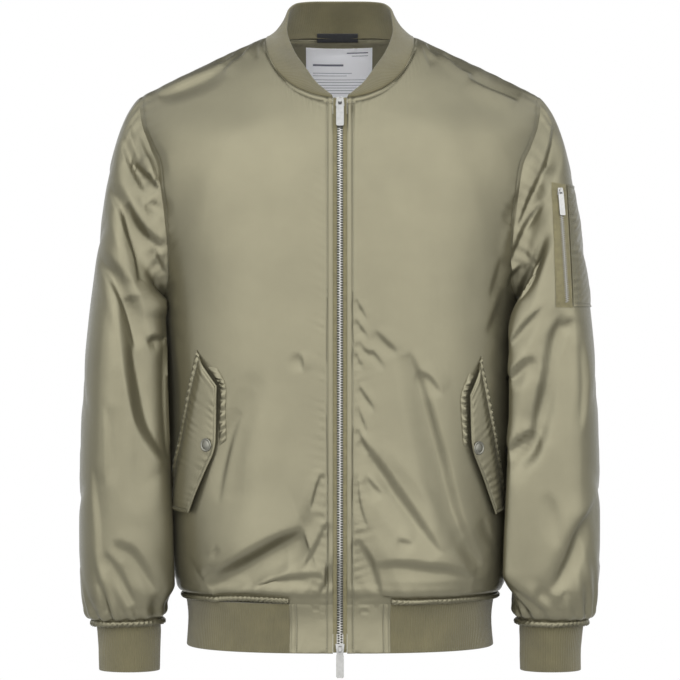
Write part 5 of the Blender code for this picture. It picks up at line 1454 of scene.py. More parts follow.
def hem_rows(seam, on_front, count):
    """Rows of the hem band below its seam, as in the CAD."""
    turns = np.arcsin(np.clip(np.abs(seam[:, 0]) / half_width(SEAM_Z), 0, 1) ** (ROUNDNESS / 2))
    turns *= np.sign(seam[:, 0])
    rows = [seam]
    for z in np.linspace(SEAM_Z, HEM_Z, count)[1:]:
        x = half_width(z) * np.abs(np.sin(turns)) ** (2 / ROUNDNESS) * np.sign(turns)
        full = np.where(on_front, DEPTH["front"](z), DEPTH["back"](z))
        flat = smooth(np.abs(turns) / ZIP_FLAT)
        depth = np.where(on_front, zip_depth(z) + (full - zip_depth(z)) * flat, full)
        y = depth * np.abs(np.cos(turns)) ** (2 / ROUNDNESS)
        rows.append(np.stack([x, np.where(on_front, -y, y), np.full(len(x), z)], axis=-1))
    return np.array(rows)


def add_hem(cloth):
    """The rib band, and the shell tabs between it and the zip; gives the tabs back."""
    left, right, back = (cloth.base[n][-1] for n in ("front_left", "front_right", "back"))
    tab = int(np.argmin(np.abs(left[:, 0] - TAB_EDGE)))
    side = len(left) - tab
    seam = np.concatenate([left[tab:], back[1:-1], right[:side]])
    front = np.array([True] * side + [False] * (len(back) - 2) + [True] * side)
    rows = widened(hem_rows(seam, front, HEM_ROWS), HEM_POINTS)
    out = grid_normals(rows)
    outer = ribbed(rows + out * slack(rows, "hem"), out, *HEM_WALE)
    outer[-1, :, 2] += RIB / 2
    thing = loft("rib_hem", banded(outer, out, RIB), "rib", sharp=BAND_SHARP)
    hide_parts("hem_rib")
    declare(thing, rows, False)
    return [add_tab("left", left[: tab + 1]), add_tab("right", right[side - 1 :])]


def add_tab(word, line):
    """One shell tab; gives its surface back with the distances from the zip and the rib."""
    rows = widened(hem_rows(line, np.full(len(line), True), TAB_ROWS), TAB_POINTS)
    out = grid_normals(rows)
    away = Edges(rows)
    zip_side, rib_side = (away.left, away.right) if word == "left" else (away.right, away.left)
    lift = beads(zip_side, "tab_zip") + beads(rib_side, "tab_rib") + beads(away.top, "tab_top")
    lift += gathers(away.col(0), past(zip_side, TAB_STITCH[0]), "tab_zip", 61, 0.2)
    lift += gathers(away.row(-1), away.bottom, "tab_foot", 67, -0.3)
    lift += lumps(rows, "tab")
    for x0, z0, half, sag, deep in TAB_CREASES[word]:
        across = (rows[..., 0] - x0) / half
        below = rows[..., 2] - z0 - sag * across**2
        lift -= deep * bell(across) * bell(below / TAB_CREASE_HALF)
        above, wide, share = TAB_RIDGE
        lift += share * deep * bell(across) * bell((below - above) / wide)
    outer = rows + out * lift[..., None]
    outer[-1, :, 2] += SHELL / 2
    thing = loft("shell_hem_tab_" + word, banded(outer, out, SHELL), "shell", sharp=BAND_SHARP)
    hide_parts("hem_tab_" + word)
    declare(thing, rows, False)
    return outer, out, zip_side, rib_side


def cuff_rows(last_ring):
    """Rings of a cuff, evenly spaced in height, from the sleeve's last ring down."""
    angles = np.linspace(0, 2 * math.pi, AROUND, endpoint=False)
    rings = [last_ring]
    for z, middle, half, deep in CUFF[1:]:
        x = middle + half * np.cos(angles)
        y = CUFF_Y - deep * np.sin(angles)
        rings.append(np.stack([x, y, np.full(AROUND, z)], axis=-1))
    rings = np.array(rings)
    heights = [row[0] for row in CUFF]
    want = np.linspace(heights[0], heights[-1], CUFF_ROWS)
    place = np.interp(want, heights[::-1], np.arange(len(heights))[::-1])
    low = np.clip(np.floor(place).astype(int), 0, len(rings) - 2)
    t = (place - low)[:, None, None]
    return rings[low] * (1 - t) + rings[low + 1] * t


def add_cuffs():
    """The two doubled rib cuffs."""
    angles = np.linspace(0, 2 * math.pi, AROUND, endpoint=False)
    for word, side in (("left", 1), ("right", -1)):
        rows = cuff_rows(sleeve_ring(float(len(SLEEVE) - 1), angles, side))
        rows = np.roll(rows[:, ::-1], 1, axis=1) if side > 0 else rows * MIRROR
        rows = widened(rows, CUFF_POINTS, closed=True)
        out = grid_normals(np.concatenate([rows[:, -1:], rows, rows[:, :1]], axis=1))[:, 1:-1]
        ring, ring_out = (np.concatenate([part, part[:, :1]], axis=1) for part in (rows, out))
        outer = ribbed(ring, ring_out, *CUFF_WALE)[:, :-1] + out * slack(rows, "cuff_" + word)
        outer[-1, :, 2] += RIB / 2
        sections = banded(outer, out, RIB)
        thing = loft("rib_cuff_" + word, sections, "rib", closed=True, sharp=BAND_SHARP)
        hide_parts("cuff_" + word)
        declare(thing, rows, True)


# ---------------------------------------------------------------- on the cloth
def tree_of(points, closed=False):
    faces = quads(*points.shape[:2], closed)
    return BVHTree.FromPolygons(points.reshape(-1, 3).tolist(), faces.tolist())


def laid_on(tree, spots, direction, start=0.08):
    """Points where rays along a direction, from a start before each spot, meet a surface."""
    direction = Vector(direction).normalized()
    made = []
    for spot in spots.reshape(-1, 3):
        place = tree.ray_cast(Vector(spot) - direction * start, direction)[0]
        if place is None:
            place = tree.find_nearest(Vector(spot))[0]
        made.append(place)
    return np.array(made).reshape(spots.shape)


def eased(height, turns):
    """Smooths a grid of numbers."""
    soft = height.copy()
    for _ in range(turns):
        wide = np.pad(soft, 1, mode="edge")
        soft = (wide[:-2, 1:-1] + wide[2:, 1:-1] + wide[1:-1, :-2] + wide[1:-1, 2:] + soft) / 5
    return soft


def at_distance(points, out, measure, distance, down=True):
    """Line down a grid, or across it, at one distance from an edge by the grid's measure."""
    if not down:
        points, out, measure = (np.swapaxes(part, 0, 1) for part in (points, out, measure))
    lines = []
    for grid in (points, out):
        line = []
        for walked, row in zip(measure, grid):
            if walked[-1] < walked[0]:
                walked, row = walked[::-1], row[::-1]
            line.append([np.interp(distance, walked, row[:, i]) for i in range(3)])
        lines.append(np.array(line))
    return lines[0], unit(lines[1])


THREAD = {                   # stitches: pitch, length, radius, finish
    "zip": (0.0030, 0.0021, 0.00032, "thread"),
    "seam": (0.0028, 0.0020, 0.00032, "thread"),
    "label": (0.0026, 0.0018, 0.00022, "label"),
}
THREAD_SIDES = 5
THREAD_FULL = 0.28           # share of its length that a stitch is full thick, each way
THREAD_RISE, THREAD_DIP = 0.35, 0.40   # in radii: its middle above the cloth, its ends below


def stitches(name, lines, kind):
    """Rows of thread: (points, way out) lines, each turned into short raised stitches."""
    pitch, length, radius, finish = THREAD[kind]
    turn = 2 * np.pi * np.arange(THREAD_SIDES)[:, None] / THREAD_SIDES
    verts, faces = [], []
    for points, out in lines:
        count = max(2, int(lengths(points)[-1] / pitch))
        spots = resampled(points, count)
        outs = unit(resampled(points, count, out))
        along = unit(np.gradient(spots, axis=0))
        across = unit(np.cross(outs, along))
        for place, up, ahead, aside in zip(spots, outs, along, across):
            first = len(verts)
            middle = place + up * radius * THREAD_RISE
            ring = middle + (aside * np.cos(turn) + up * np.sin(turn)) * radius
            tip = place - up * radius * THREAD_DIP
            verts.append(tip - ahead * length / 2)
            verts.extend(ring - ahead * length * THREAD_FULL)
            verts.extend(ring + ahead * length * THREAD_FULL)
            verts.append(tip + ahead * length / 2)
            for k in range(THREAD_SIDES):
                near, after = first + 1 + k, first + 1 + (k + 1) % THREAD_SIDES
                far = THREAD_SIDES
                faces.append((first, after, near))
                faces.append((near, after, after + far, near + far))
                faces.append((near + far, after + far, first + 1 + 2 * far))
    add_mesh(name, verts, faces, [finish])


def add_zip_stitching(cloth, tabs):
    """Stitching beside the zip, down the fronts and their tabs."""
    lines = []
    for name in ("front_left", "front_right"):
        points, out, _ = cloth.panel(name)
        away = Edges(cloth.base[name])
        measure = away.left if name == "front_left" else away.right
        lines.append(at_distance(points, out, measure, ZIP_STITCH))
    for points, out, *sides in tabs:
        for measure, distance in zip(sides, TAB_STITCH):
            line, outs = at_distance(points, out, measure, distance)
            lines.append((line[1:-1], outs[1:-1]))
    stitches("stitching_zip", [(p + o * 0.0001, o) for p, o in lines], "zip")


def add_seam_stitching(cloth):
    """Stitching beside the collar and beside the armholes."""
    neck, arms = [], []
    skip = SHOULDER_CELLS + 2
    for name in ("front_left", "front_right", "back"):
        points, out, _ = cloth.panel(name)
        away = Edges(cloth.base[name])
        line, outs = at_distance(points, out, away.top, NECK_STITCH, down=False)
        first = 4 if name == "front_left" else skip
        last = 4 if name == "front_right" else skip
        neck.append((line[first:-last], outs[first:-last]))
        for far, other in ((away.right, "front_right"), (away.left, "front_left")):
            if name != other:
                line, outs = at_distance(points, out, far, ARM_STITCH)
                arms.append((line[10 : ARM_CELLS - 3], outs[10 : ARM_CELLS - 3]))
    stitches("stitching_neck", neck, "seam")
    stitches("stitching_armholes", arms, "seam")


# ---------------------------------------------------------------- rolled seam edges
ROLL_SPACING = 0.0009
ROLL_STEPS = 9
ROLL_PITCH = 0.0052
ROLL_HEM, ROLL_CUFF = 0.0046, 0.0056       # how far the rolls stand off


def rolled_edge(name, points, out, above, stands):
    """Rolled, puckered edge of a seam: a half-round strip that lies above a line."""
    count = int(lengths(points)[-1] / ROLL_SPACING)
    spots = resampled(points, count)
    outs = unit(resampled(points, count, out))
    rise = unit(resampled(points, count, above))
    walked = lengths(spots)
    sections = []
    for a in np.linspace(-0.15 * math.pi, 1.15 * math.pi, ROLL_STEPS):
        lean = walked + 0.0050 * math.cos(a)
        place = lean / ROLL_PITCH + 0.35 * wave(lean / (3.3 * ROLL_PITCH), 5)
        puff = 0.5 - 0.5 * np.cos(2 * math.pi * place)
        depth = 0.55 + 0.35 * wave(lean / (5.1 * ROLL_PITCH), 2)
        fat = 0.0006 + stands * (1 - depth * (1 - puff)) * math.sin(a)
        tall = HEM_ROLL / 2 * (1 - math.cos(a) * (0.92 + 0.12 * puff))
        sections.append(spots + outs * fat[:, None] + rise * tall[:, None])
    loft(name, np.array(sections), "shell")


def add_rolled_edges(cloth):
    """Along the hem rib and the cuffs, where the gathered cloth is sewn to the rib."""
    tab = int(np.argmin(np.abs(cloth.base["front_left"][-1, :, 0] - TAB_EDGE)))
    parts = {"front_left": slice(tab, None), "back": slice(1, None), "front_right": slice(1, -tab)}
    lines = []
    for name, part in parts.items():
        points, out, _ = cloth.panel(name)
        lines.append([points[-1, part], out[-1, part], (points[-4] - points[-1])[part]])
    rolled_edge("shell_hem_edge", *(np.concatenate(line) for line in zip(*lines)), ROLL_HEM)
    for word in ("left", "right"):
        points, out, _ = cloth.panel("sleeve_" + word)
        ring = [np.concatenate([p, p[:1]]) for p in (points[-1], out[-1], points[-4] - points[-1])]
        rolled_edge("shell_cuff_edge_" + word, *ring, ROLL_CUFF)


# ---------------------------------------------------------------- front pockets
WELT_GRID = (64, 12)
WELT_ROUND, WELT_INNER_ROUND = 0.010, 0.006
WELT_BASE, WELT_SWELL, WELT_PUCKER = 0.0009, 0.0014, 0.0013   # heights
WELT_PITCH = 0.0090
WELT_ENDS = 0.006            # the strip flattens over this much at both ends
WELT_DEEP = 0.0004           # and its back lies this far in the cloth
FLAP_GRID = (90, 34)
FLAP_ROUND = 0.012
FLAP_THICK = 0.0011
FLAP_BASE = 0.0005
FLAP_STANDS, FLAP_OPENS = 0.0058, 0.024    # how far its free side stands off, and over what
FLAP_SWELL = 0.0010                        # distance; how far its middle swells besides
FLAP_EASE, FLAP_SINK = 14, 0.0004          # it follows the body eased by so many turns, and
FLAP_TUCK = 0.0062                         # no deeper; pitch of the tucks at its sewn side,
FLAP_TUCK_HIGH, FLAP_TUCK_SHARE = 0.0017, 0.45      # their height and how much of it varies
FLAP_TUCK_AT = (0.0034, 0.0026)            # distance from that side, half width
SEWN_STITCH = 0.0009                       # stitching nearest the sewn side
END_STITCH, FREE_STITCH = 0.0033, 0.0031   # and round the free sides
SNAP_SIDES = 40
SNAP_PROFILE = (             # radius and height of the turned cap
    (0.0060, -0.0006), (0.0073, 0.0001), (0.0076, 0.0008), (0.0075, 0.0013), (0.0071, 0.0017),
    (0.0065, 0.0018), (0.0060, 0.0016), (0.0055, 0.0013), (0.0050, 0.0013), (0.0045, 0.0016),
    (0.0036, 0.0019), (0.0020, 0.0021), (0.0006, 0.00215),
)


def front_place(x, z):
    """Point of the front at x and z."""
    place = edge([(x, z)], "front")
    return body_point(place[:, 0], place[:, 1], "front")[0]


def rounded_line(corners, rounding, count):
    """Straight runs between corners, with the corners rounded, evenly spaced."""
    corners = np.array(corners, float)
    line = [corners[0]]
    for a, b, c in zip(corners, corners[1:], corners[2:]):
        into, away = unit(a - b), unit(c - b)
        reach = min(rounding, np.linalg.norm(a - b) / 2, np.linalg.norm(c - b) / 2)
        for t in np.linspace(0, 1, 7):
            line.append((1 - t) ** 2 * (b + into * reach) + 2 * t * (1 - t) * b
                        + t**2 * (b + away * reach))
    line.append(corners[-1])
    return resampled(np.array(line), count)


def between(start, end, count):
    """Grid of points from one line to another."""
    share = np.linspace(0, 1, count)[None, :, None]
    return start[:, None] * (1 - share) + end[:, None] * share


def add_welt(side, word, corners, outline, tree, direction):
    """Stitched strip that comes out from under the flap's edge."""
    a, b, c = corners[:3]
    far = rounded_line(outline, WELT_ROUND, WELT_GRID[0])
    close = rounded_line([a + (b - a) * 0.45, b, c - (c - b) * 0.05], WELT_INNER_ROUND, WELT_GRID[0])
    surface = laid_on(tree, between(far, close, WELT_GRID[1]), -direction)
    share = np.linspace(0, 1, WELT_GRID[1])[None, :]
    line = lengths(far)[:, None]
    puckers = np.cos(2 * math.pi * (line / WELT_PITCH + 0.6 * wave(line / 0.013, 3 + side)))
    height = WELT_BASE + WELT_SWELL * np.sin(math.pi * share**0.8)
    height = height + WELT_PUCKER * puckers * bell((share - 0.42) / 0.6)
    ends = smooth(np.minimum(line, line[-1] - line) / WELT_ENDS)
    height = 0.0002 + np.clip(height, 0.0003, None) * (0.3 + 0.7 * ends)
    top = surface + direction * height[..., None]
    low = surface - direction * WELT_DEEP
    welt = patch_piece("shell_pocket_welt_" + word, top, low, direction, "shell")
    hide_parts("pocket_welt_" + word)
    declare(welt, top, False)


def add_flap(side, word, corners, tree, direction):
    """Flap, sewn down along A-E and free along B-C-D; gives its upper surface back."""
    a, b, c, d, e = corners
    free = rounded_line([b, c, d], FLAP_ROUND, FLAP_GRID[0])
    plan = between(rounded_line([a, e], 0.0, FLAP_GRID[0]), free, FLAP_GRID[1])
    body = (laid_on(tree, plan, -direction) - plan) @ direction
    raised = np.maximum(eased(body, FLAP_EASE), body - FLAP_SINK)
    down, across = (np.linspace(0, 1, count) for count in FLAP_GRID)
    down, across = down[:, None], across[None, :]
    width = np.linalg.norm(plan[:, -1] - plan[:, 0], axis=-1)[:, None]
    along = down * lengths(free)[-1]
    from_sewn, from_end = across * width, along[-1] - along
    rim = np.minimum(np.minimum((1 - across) * width, along), from_end)
    place = along / FLAP_TUCK + 0.5 * wave(along / 0.017, 9)
    tucks = 1 + FLAP_TUCK_SHARE * np.cos(2 * math.pi * place)
    lift = FLAP_BASE + FLAP_STANDS * smooth(from_sewn / FLAP_OPENS)
    lift = lift + FLAP_SWELL * bell((across - 0.55) / 0.5)
    lift += beads(rim, "flap_rim") + beads(from_sewn, "flap_seam")
    lift += FLAP_TUCK_HIGH * tucks * bell((from_sewn - FLAP_TUCK_AT[0]) / FLAP_TUCK_AT[1])
    lift += gathers(along, past(from_sewn, FLAP_STITCH), "flap_seam", 71 + side)
    lift += gathers(along, past(rim, RIM_STITCH), "flap_rim", 75 + side)
    lift += raised + lumps(plan, "flap")
    top = plan + direction * lift[..., None]
    low = plan + direction * (lift - FLAP_THICK)[..., None]
    flap = patch_piece("shell_pocket_flap_" + word, top, low, direction, "shell")
    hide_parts("pocket_flap_" + word)
    declare(flap, top, False)
    # double stitching along the sewn side, single round the free one
    ways = np.broadcast_to(direction, top.shape)
    lines = [at_distance(top, ways, from_sewn, distance) for distance in (SEWN_STITCH, FLAP_STITCH)]
    first, last = (int(np.argmin(np.abs(far[:, 0] - END_STITCH))) for far in (along, from_end))
    part = slice(first, last + 1)
    lines.append(at_distance(top[part], ways[part], (from_sewn - width)[part], -FREE_STITCH))
    lines += [(top[row, 3:-2], ways[row, 3:-2]) for row in (first, last)]
    stitches("stitching_pocket_" + word, lines, "seam")
    return top


def add_snap(word, place, facing):
    """Turned metal cap on a flap."""
    turned = facing.to_track_quat("Z", "Y").to_matrix()
    verts, faces = [], []
    for radius, height in SNAP_PROFILE:
        for k in range(SNAP_SIDES):
            a = 2 * math.pi * k / SNAP_SIDES
            verts.append(turned @ Vector((radius * math.cos(a), radius * math.sin(a), height)) + place)
    for first in range(0, len(verts) - SNAP_SIDES, SNAP_SIDES):
        for k in range(SNAP_SIDES):
            near, after = first + k, first + (k + 1) % SNAP_SIDES
            faces.append((near, after, after + SNAP_SIDES, near + SNAP_SIDES))
    faces.append(tuple(range(len(verts) - SNAP_SIDES, len(verts))))
    faces.append(tuple(range(SNAP_SIDES - 1, -1, -1)))
    thing = add_mesh("metal_snap_" + word, verts, faces, ["snap"], sharp=40)
    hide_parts("snap_" + word)


def add_pocket(cloth, side):
    """Welt, flap and snap of one front pocket."""
    word = "left" if side > 0 else "right"
    points, out, _ = cloth.panel("front_" + word)
    tree = tree_of(points)
    corners, welt, (snap,) = (
        [front_place(side * x, z) for x, z in POCKETS[side][part]] for part in ("flap", "welt", "snap")
    )
    near = np.argmin(np.linalg.norm(points - np.mean(corners, axis=0), axis=2))
    direction = unit(out.reshape(-1, 3)[near] * np.array([1, 1, 0]))
    add_welt(side, word, corners, welt, tree, direction)
    top = add_flap(side, word, corners, tree, direction)
    place = tree_of(top).ray_cast(Vector(snap + direction * 0.05), Vector(-direction))[0]
    add_snap(word, place, Vector(direction))


# ---------------------------------------------------------------- zips
TOOTH = (                    # half of a tooth's outline: across from the tape, along
    (0.0, 0.00034), (0.0012, 0.00036), (0.0018, 0.00050), (0.0026, 0.00058),
    (0.0033, 0.00050), (0.0036, 0.00028),
)
FRONT_TEETH = (CHAIN_HALF, CHAIN_OUT, CHAIN_IN, 0.0029)      # half width, top, bottom, pitch
SLEEVE_TEETH = (0.0024, 0.0013, -0.0003, 0.0024)
TOOTH_BEVEL = 0.0003
BACKING_THICK = 0.0006


def teeth(name, path, normals, sizes, finish):
    """Two rows of teeth that meet between each other along a path."""
    half, high, low, pitch = sizes
    count = int(lengths(path)[-1] / pitch * 2)
    spots = resampled(path, count)
    outs = unit(resampled(path, count, normals))
    along = unit(np.gradient(spots, axis=0))
    across = np.cross(outs, along)
    size = half / CHAIN_HALF
    outline = [(x * size, y * size) for x, y in TOOTH]
    outline += [(x, -y) for x, y in reversed(outline)]
    number = len(outline)
    verts, faces = [], []
    for k in range(count):
        hand = 1 if k % 2 else -1
        first = len(verts)
        for height, inset in ((low, 1.0), (high - TOOTH_BEVEL * size, 1.0), (high, 0.80)):
            for x, y in outline:
                off = (half - x) * hand
                verts.append(spots[k] + across[k] * off + along[k] * y * inset + outs[k] * height)
        order = list(range(number))[::hand]
        for level in (first, first + number):
            for p, q in zip(order, order[1:] + order[:1]):
                faces.append((level + p, level + q, level + number + q, level + number + p))
        faces.append(tuple(first + i for i in reversed(order)))
        faces.append(tuple(first + 2 * number + i for i in order))
    thing = add_mesh(name, verts, faces, [finish], sharp=30)
    return thing


def add_front_teeth():
    """Teeth of the front zip between its two sliders, and the tape behind them, which is coloured dark as
    painted shade between the teeth.
    """
    top = ZIP_TOP - SLIDER_CROWN - GAP
    end = BOTTOM_SLIDER_TOP - SLIDER_LENGTH + SLIDER_CROWN + GAP
    z = np.linspace(top - 0.0006, end + 0.0006, 400)
    line = np.stack([0 * z, -zip_depth(z), z], axis=-1)
    lean = zip_depth(z - 0.002) - zip_depth(z + 0.002)
    outs = unit(np.stack([0 * z, np.full_like(z, -0.004), lean], axis=-1))
    thing = teeth("metal_zip_teeth", line, outs, FRONT_TEETH, "teeth")
    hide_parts("zip_chain")
    # woven edge of the tapes, behind the teeth and seen between them, coloured much darker than the tape
    # as painted shade in the gaps between the teeth
    aside = np.array([CHAIN_HALF, 0.0, 0.0])
    behind = CHAIN_IN - BACKING_THICK
    corners = [(1, CHAIN_IN), (1, behind), (-1, behind), (-1, CHAIN_IN)]
    sections = np.array([line + aside * hand + outs * height for hand, height in corners])
    loft("tape_zip_backing", sections, "backing_shade", sharp=30)


BACKWARDS = np.array([0.0, 1.0, 0.0])
TAPE_GRID = (96, 14)
TAPE_RIBS = 22
PATCH_GRID = (104, 66)
PATCH_MIDDLE = (0.235, 0.0)  # x and y of the sleeve's middle beside the patch
PATCH_BASE, PATCH_SWELL = 0.0010, 0.0009   # heights
PATCH_DEEP = 0.0003          # its back lies this far in the cloth
PATCH_RIPPLE, PATCH_RIPPLE_HIGH = 0.0105, 0.0012    # slanting ripples beside the zip
PATCH_RIPPLE_FADE = 0.030
TAPE_HIGH, TAPE_RIM = 0.0011, 0.0005       # the sleeve tape, and its thicker edges
TAPE_RIB_HIGH = 0.00025


def add_sleeve_tape(tree):
    """Tape of the sleeve's zip, as a strip laid on the sleeve, and the teeth on it."""
    (x0, z0), (x1, z1), (x2, z2), (x3, z3) = SLEEVE_ZIP_TAPE
    v, u = np.linspace(0, 1, TAPE_GRID[0])[:, None], np.linspace(0, 1, TAPE_GRID[1])[None, :]
    x = (x0 * (1 - u) + x1 * u) * (1 - v) + (x3 * (1 - u) + x2 * u) * v
    z = (z0 * (1 - u) + z1 * u) * (1 - v) + (z3 * (1 - u) + z2 * u) * v
    surface = laid_on(tree, np.stack([x, np.full_like(x, -0.08), z], axis=-1), BACKWARDS)
    height = TAPE_HIGH + TAPE_RIM * (bell((u - 0.06) / 0.08) + bell((u - 0.94) / 0.08))
    ribs = np.cos(2 * math.pi * v * TAPE_RIBS) * bell((u - 0.15) / 0.2)
    height = height + TAPE_RIB_HIGH * ribs
    top = surface - BACKWARDS * height[..., None]
    low = surface + BACKWARDS * PATCH_DEEP
    tape = patch_piece("tape_sleeve_zip", top, low, -BACKWARDS, "tape")
    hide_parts("sleeve_zip_tape")
    declare(tape, top, False)
    (x0, z0), (x1, z1) = SLEEVE_CHAIN
    t = np.linspace(0, 1, 90)[:, None]
    chain = np.array([x0, -0.08, z0]) * (1 - t) + np.array([x1, -0.08, z1]) * t
    chain = laid_on(tree_of(top), chain, BACKWARDS)
    normals = np.broadcast_to(unit(np.array([0.15, -0.98, 0.0])), chain.shape)
    made = teeth("metal_sleeve_teeth", chain, normals, SLEEVE_TEETH, "metal")
    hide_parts("sleeve_zip_chain")


def patch_surface(tree):
    """Points of the sleeve under the patch: from the tape round the outside, row by row."""
    (x1, z1), (x2, z2) = SLEEVE_ZIP_TAPE[1:3]
    heights = np.linspace(SLEEVE_POCKET_TOP, SLEEVE_POCKET_BOTTOM, PATCH_GRID[0])
    edge_x = np.interp(heights, [z2, z1], [x2, x1]) + 0.0004
    cx, cy = PATCH_MIDDLE
    grid = []
    for z, x in zip(heights, edge_x):
        ahead = tree.ray_cast(Vector((x, -0.3, z)), Vector((0, 1, 0)))[0]
        aside = tree.ray_cast(Vector((0.4, SLEEVE_POCKET_BACK, z)), Vector((-1, 0, 0)))[0]
        first, last = (math.atan2(spot.y - cy, spot.x - cx) for spot in (ahead, aside))
        row = []
        for a in np.linspace(first, last, PATCH_GRID[1]):
            aim = Vector((math.cos(a), math.sin(a), 0))
            row.append(tree.ray_cast(Vector((cx, cy, z)) + aim * 0.2, -aim)[0])
        grid.append(row)
    return np.array(grid, float)


def add_sleeve_pocket(cloth):
    points, _, closed = cloth.panel("sleeve_left")
    tree = tree_of(points, closed)
    add_sleeve_tape(tree)
    surface = patch_surface(tree)
    out = grid_normals(surface)
    away = Edges(surface)
    rim = away.rim()
    diagonal = away.top + 0.55 * away.left
    ripple = np.cos(2 * math.pi * (diagonal / PATCH_RIPPLE + 0.6 * wave(diagonal / 0.021, 5)))
    ripple = PATCH_RIPPLE_HIGH * ripple * np.exp(-away.left / PATCH_RIPPLE_FADE)
    ripple = ripple * (0.55 + lumps(surface, "patch_ripple")) * smooth(rim / 0.010)
    lift = PATCH_BASE + beads(rim, "patch_rim") + beads(away.left, "patch_front") + ripple
    lift += (lumps(surface, "patch") + PATCH_SWELL) * smooth(rim / 0.020)
    lift += gathers(away.top, away.left, "patch", 81)
    top = surface + out * np.clip(lift, 0.0004, None)[..., None]
    low = surface - out * PATCH_DEEP
    pocket = patch_piece("shell_sleeve_pocket", top, low, np.array([1.0, -0.4, 0.0]), "shell")
    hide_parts("sleeve_pocket")
    declare(pocket, top, False)
    lines = [at_distance(top, out, away.left, distance) for distance in (RIM_STITCH, PATCH_STITCH)]
    lines += [at_distance(top, out, far, RIM_STITCH, down=False) for far in (away.top, away.bottom)]
    stitches("stitching_sleeve_pocket", lines, "seam")


# ---------------------------------------------------------------- inside the neck
LINING_CLEAR = 0.0006        # how far the lining hangs clear of the shell's inside
LINING_THICK = 0.0008
LABEL_GRID = 44
LABEL_FACE, LABEL_BACK = 0.0011, 0.0004    # how far its two sides stand off the lining
LABEL_CURL = 0.0010          # how far its lower edge curls away
LOOP_GRID = (14, 60)
LOOP_CLEAR = 0.0016
LOOP_RIB = 0.00012
LOOP_RIM = 0.0003            # both its faces fall away by this much towards the edges


def add_lining(cloth):
    """Lining inside the back of the neck; gives its surface back."""
    points, out, _ = cloth.panel("back")
    part = (slice(LINING_ROWS + 1), slice(SHOULDER_CELLS + 6, SHOULDER_CELLS + BACK_NECK_CELLS - 5))
    area, ways = points[part], out[part]
    away = Edges(area)
    lift = gathers(away.row(0), away.top, "lining", 91) + lumps(area, "lining")
    low = area - ways * (SHELL + GAP + LINING_CLEAR + np.abs(lift))[..., None]
    top = (low - ways * LINING_THICK)[:, ::-1]
    lining = wall("lining_back_neck", top, low[:, ::-1], False, ["lining"])
    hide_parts("back_lining")
    declare(lining, top, False)
    return top


def add_label(lining):
    """Label, with rules for lines of print, that hangs on the lining."""
    (x0, x1), (z0, z1) = LABEL_BOX
    u = np.linspace(0, 1, LABEL_GRID)
    x, z = np.meshgrid(x0 + (x1 - x0) * u, z1 + (z0 - z1) * u)
    surface = laid_on(tree_of(lining), np.stack([x, 0 * x, z], axis=-1), BACKWARDS, 0.0)
    surface[..., 1] = np.minimum(eased(surface[..., 1], 60), surface[..., 1])
    curl = LABEL_CURL * smooth((u - 0.75) / 0.25)[:, None, None]
    face = surface - BACKWARDS * (LABEL_FACE + curl)
    behind = surface - BACKWARDS * (LABEL_BACK + curl)
    label = patch_piece("label_neck", face, behind, -BACKWARDS, "label")
    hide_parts("neck_label")
    declare(label, face, False)
    sides = [face[row, 1:-1] for row in (1, -2)] + [face[1:-1, col] for col in (1, -2)]
    lines = [(side, np.broadcast_to(-BACKWARDS, side.shape)) for side in sides]
    stitches("stitching_label", lines, "label")


def add_loop(cloth):
    """Hanger loop, a ribbed tape under the back of the collar."""
    x = np.linspace(*LOOP_ENDS, LOOP_GRID[1])
    seam = cloth.base["back"][0][::-1]
    y = np.interp(x, seam[:, 0], seam[:, 1]) - COLLAR - LOOP_CLEAR
    z = np.interp(x, seam[:, 0], seam[:, 2])
    lean = math.radians(LOOP_LEAN)
    up = np.array([0.0, math.sin(lean), math.cos(lean)]) * LOOP_HIGH
    facing = np.array([0.0, -math.cos(lean), math.sin(lean)])
    high = np.linspace(0, 1, LOOP_GRID[0])[:, None, None]
    grid = np.stack([x, y, z], axis=-1) + up * LOOP_ABOVE - up * high
    ribs = LOOP_RIB * np.cos(math.pi * np.arange(LOOP_GRID[1]))[None, :, None]
    rim = -LOOP_RIM * np.abs(2 * high - 1) ** 6
    strap = patch_piece("loop_hanger", grid + facing * (LOOP_THICK + ribs + rim),
                        grid - facing * rim, facing, "loop")
    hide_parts("hanger_loop")
    declare(strap, grid, False)


# ---------------------------------------------------------------- solids that stay
KEPT = {                     # node: finish, width of its softened edges
    "top_slider": ("metal", 0.00022),
    "bottom_slider": ("metal", 0.00022),
    "sleeve_slider": ("metal", 0.00022),
    "top_pull": ("metal", 0.00020),
    "bottom_pull": ("metal", 0.00020),
    "sleeve_pull": ("metal", 0.00020),
    "zip_tape_left": ("tape", 0.0),
    "zip_tape_right": ("tape", 0.0),
}


def dress_kept():
    """Finishes, and softened edges, of the solids that stay in view."""
    for node, (finish, bevel) in KEPT.items():
        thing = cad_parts[node]
        for slot in thing.material_slots:
            slot.material = LOOKS[finish]
        if bevel:
            step = thing.modifiers.new("soft_edges", "BEVEL")
            step.width = bevel
            step.segments = 2
            step.limit_method = "ANGLE"
            step.angle_limit = math.radians(40)
            step.use_clamp_overlap = True


# ---------------------------------------------------------------- stage
CAMERA = (0.0, -3.5, -0.3485)
LENS = 161.1
FLOOR_RADIUS, FLOOR_Z, FLOOR_SIDES = 1.4, -1.15, 96
LIGHTS = (                   # name, place, aimed at, size, watts
    ("front", (0.0, -3.4, 0.40), (0, 0, -0.45), (7.4, 4.4), 168),
    ("side_left", (-3.0, -1.6, 0.5), (0, 0, -0.3), (2.0, 3.0), 14),
    ("side_right", (3.0, -1.6, 0.5), (0, 0, -0.3), (2.0, 3.0), 12),
)
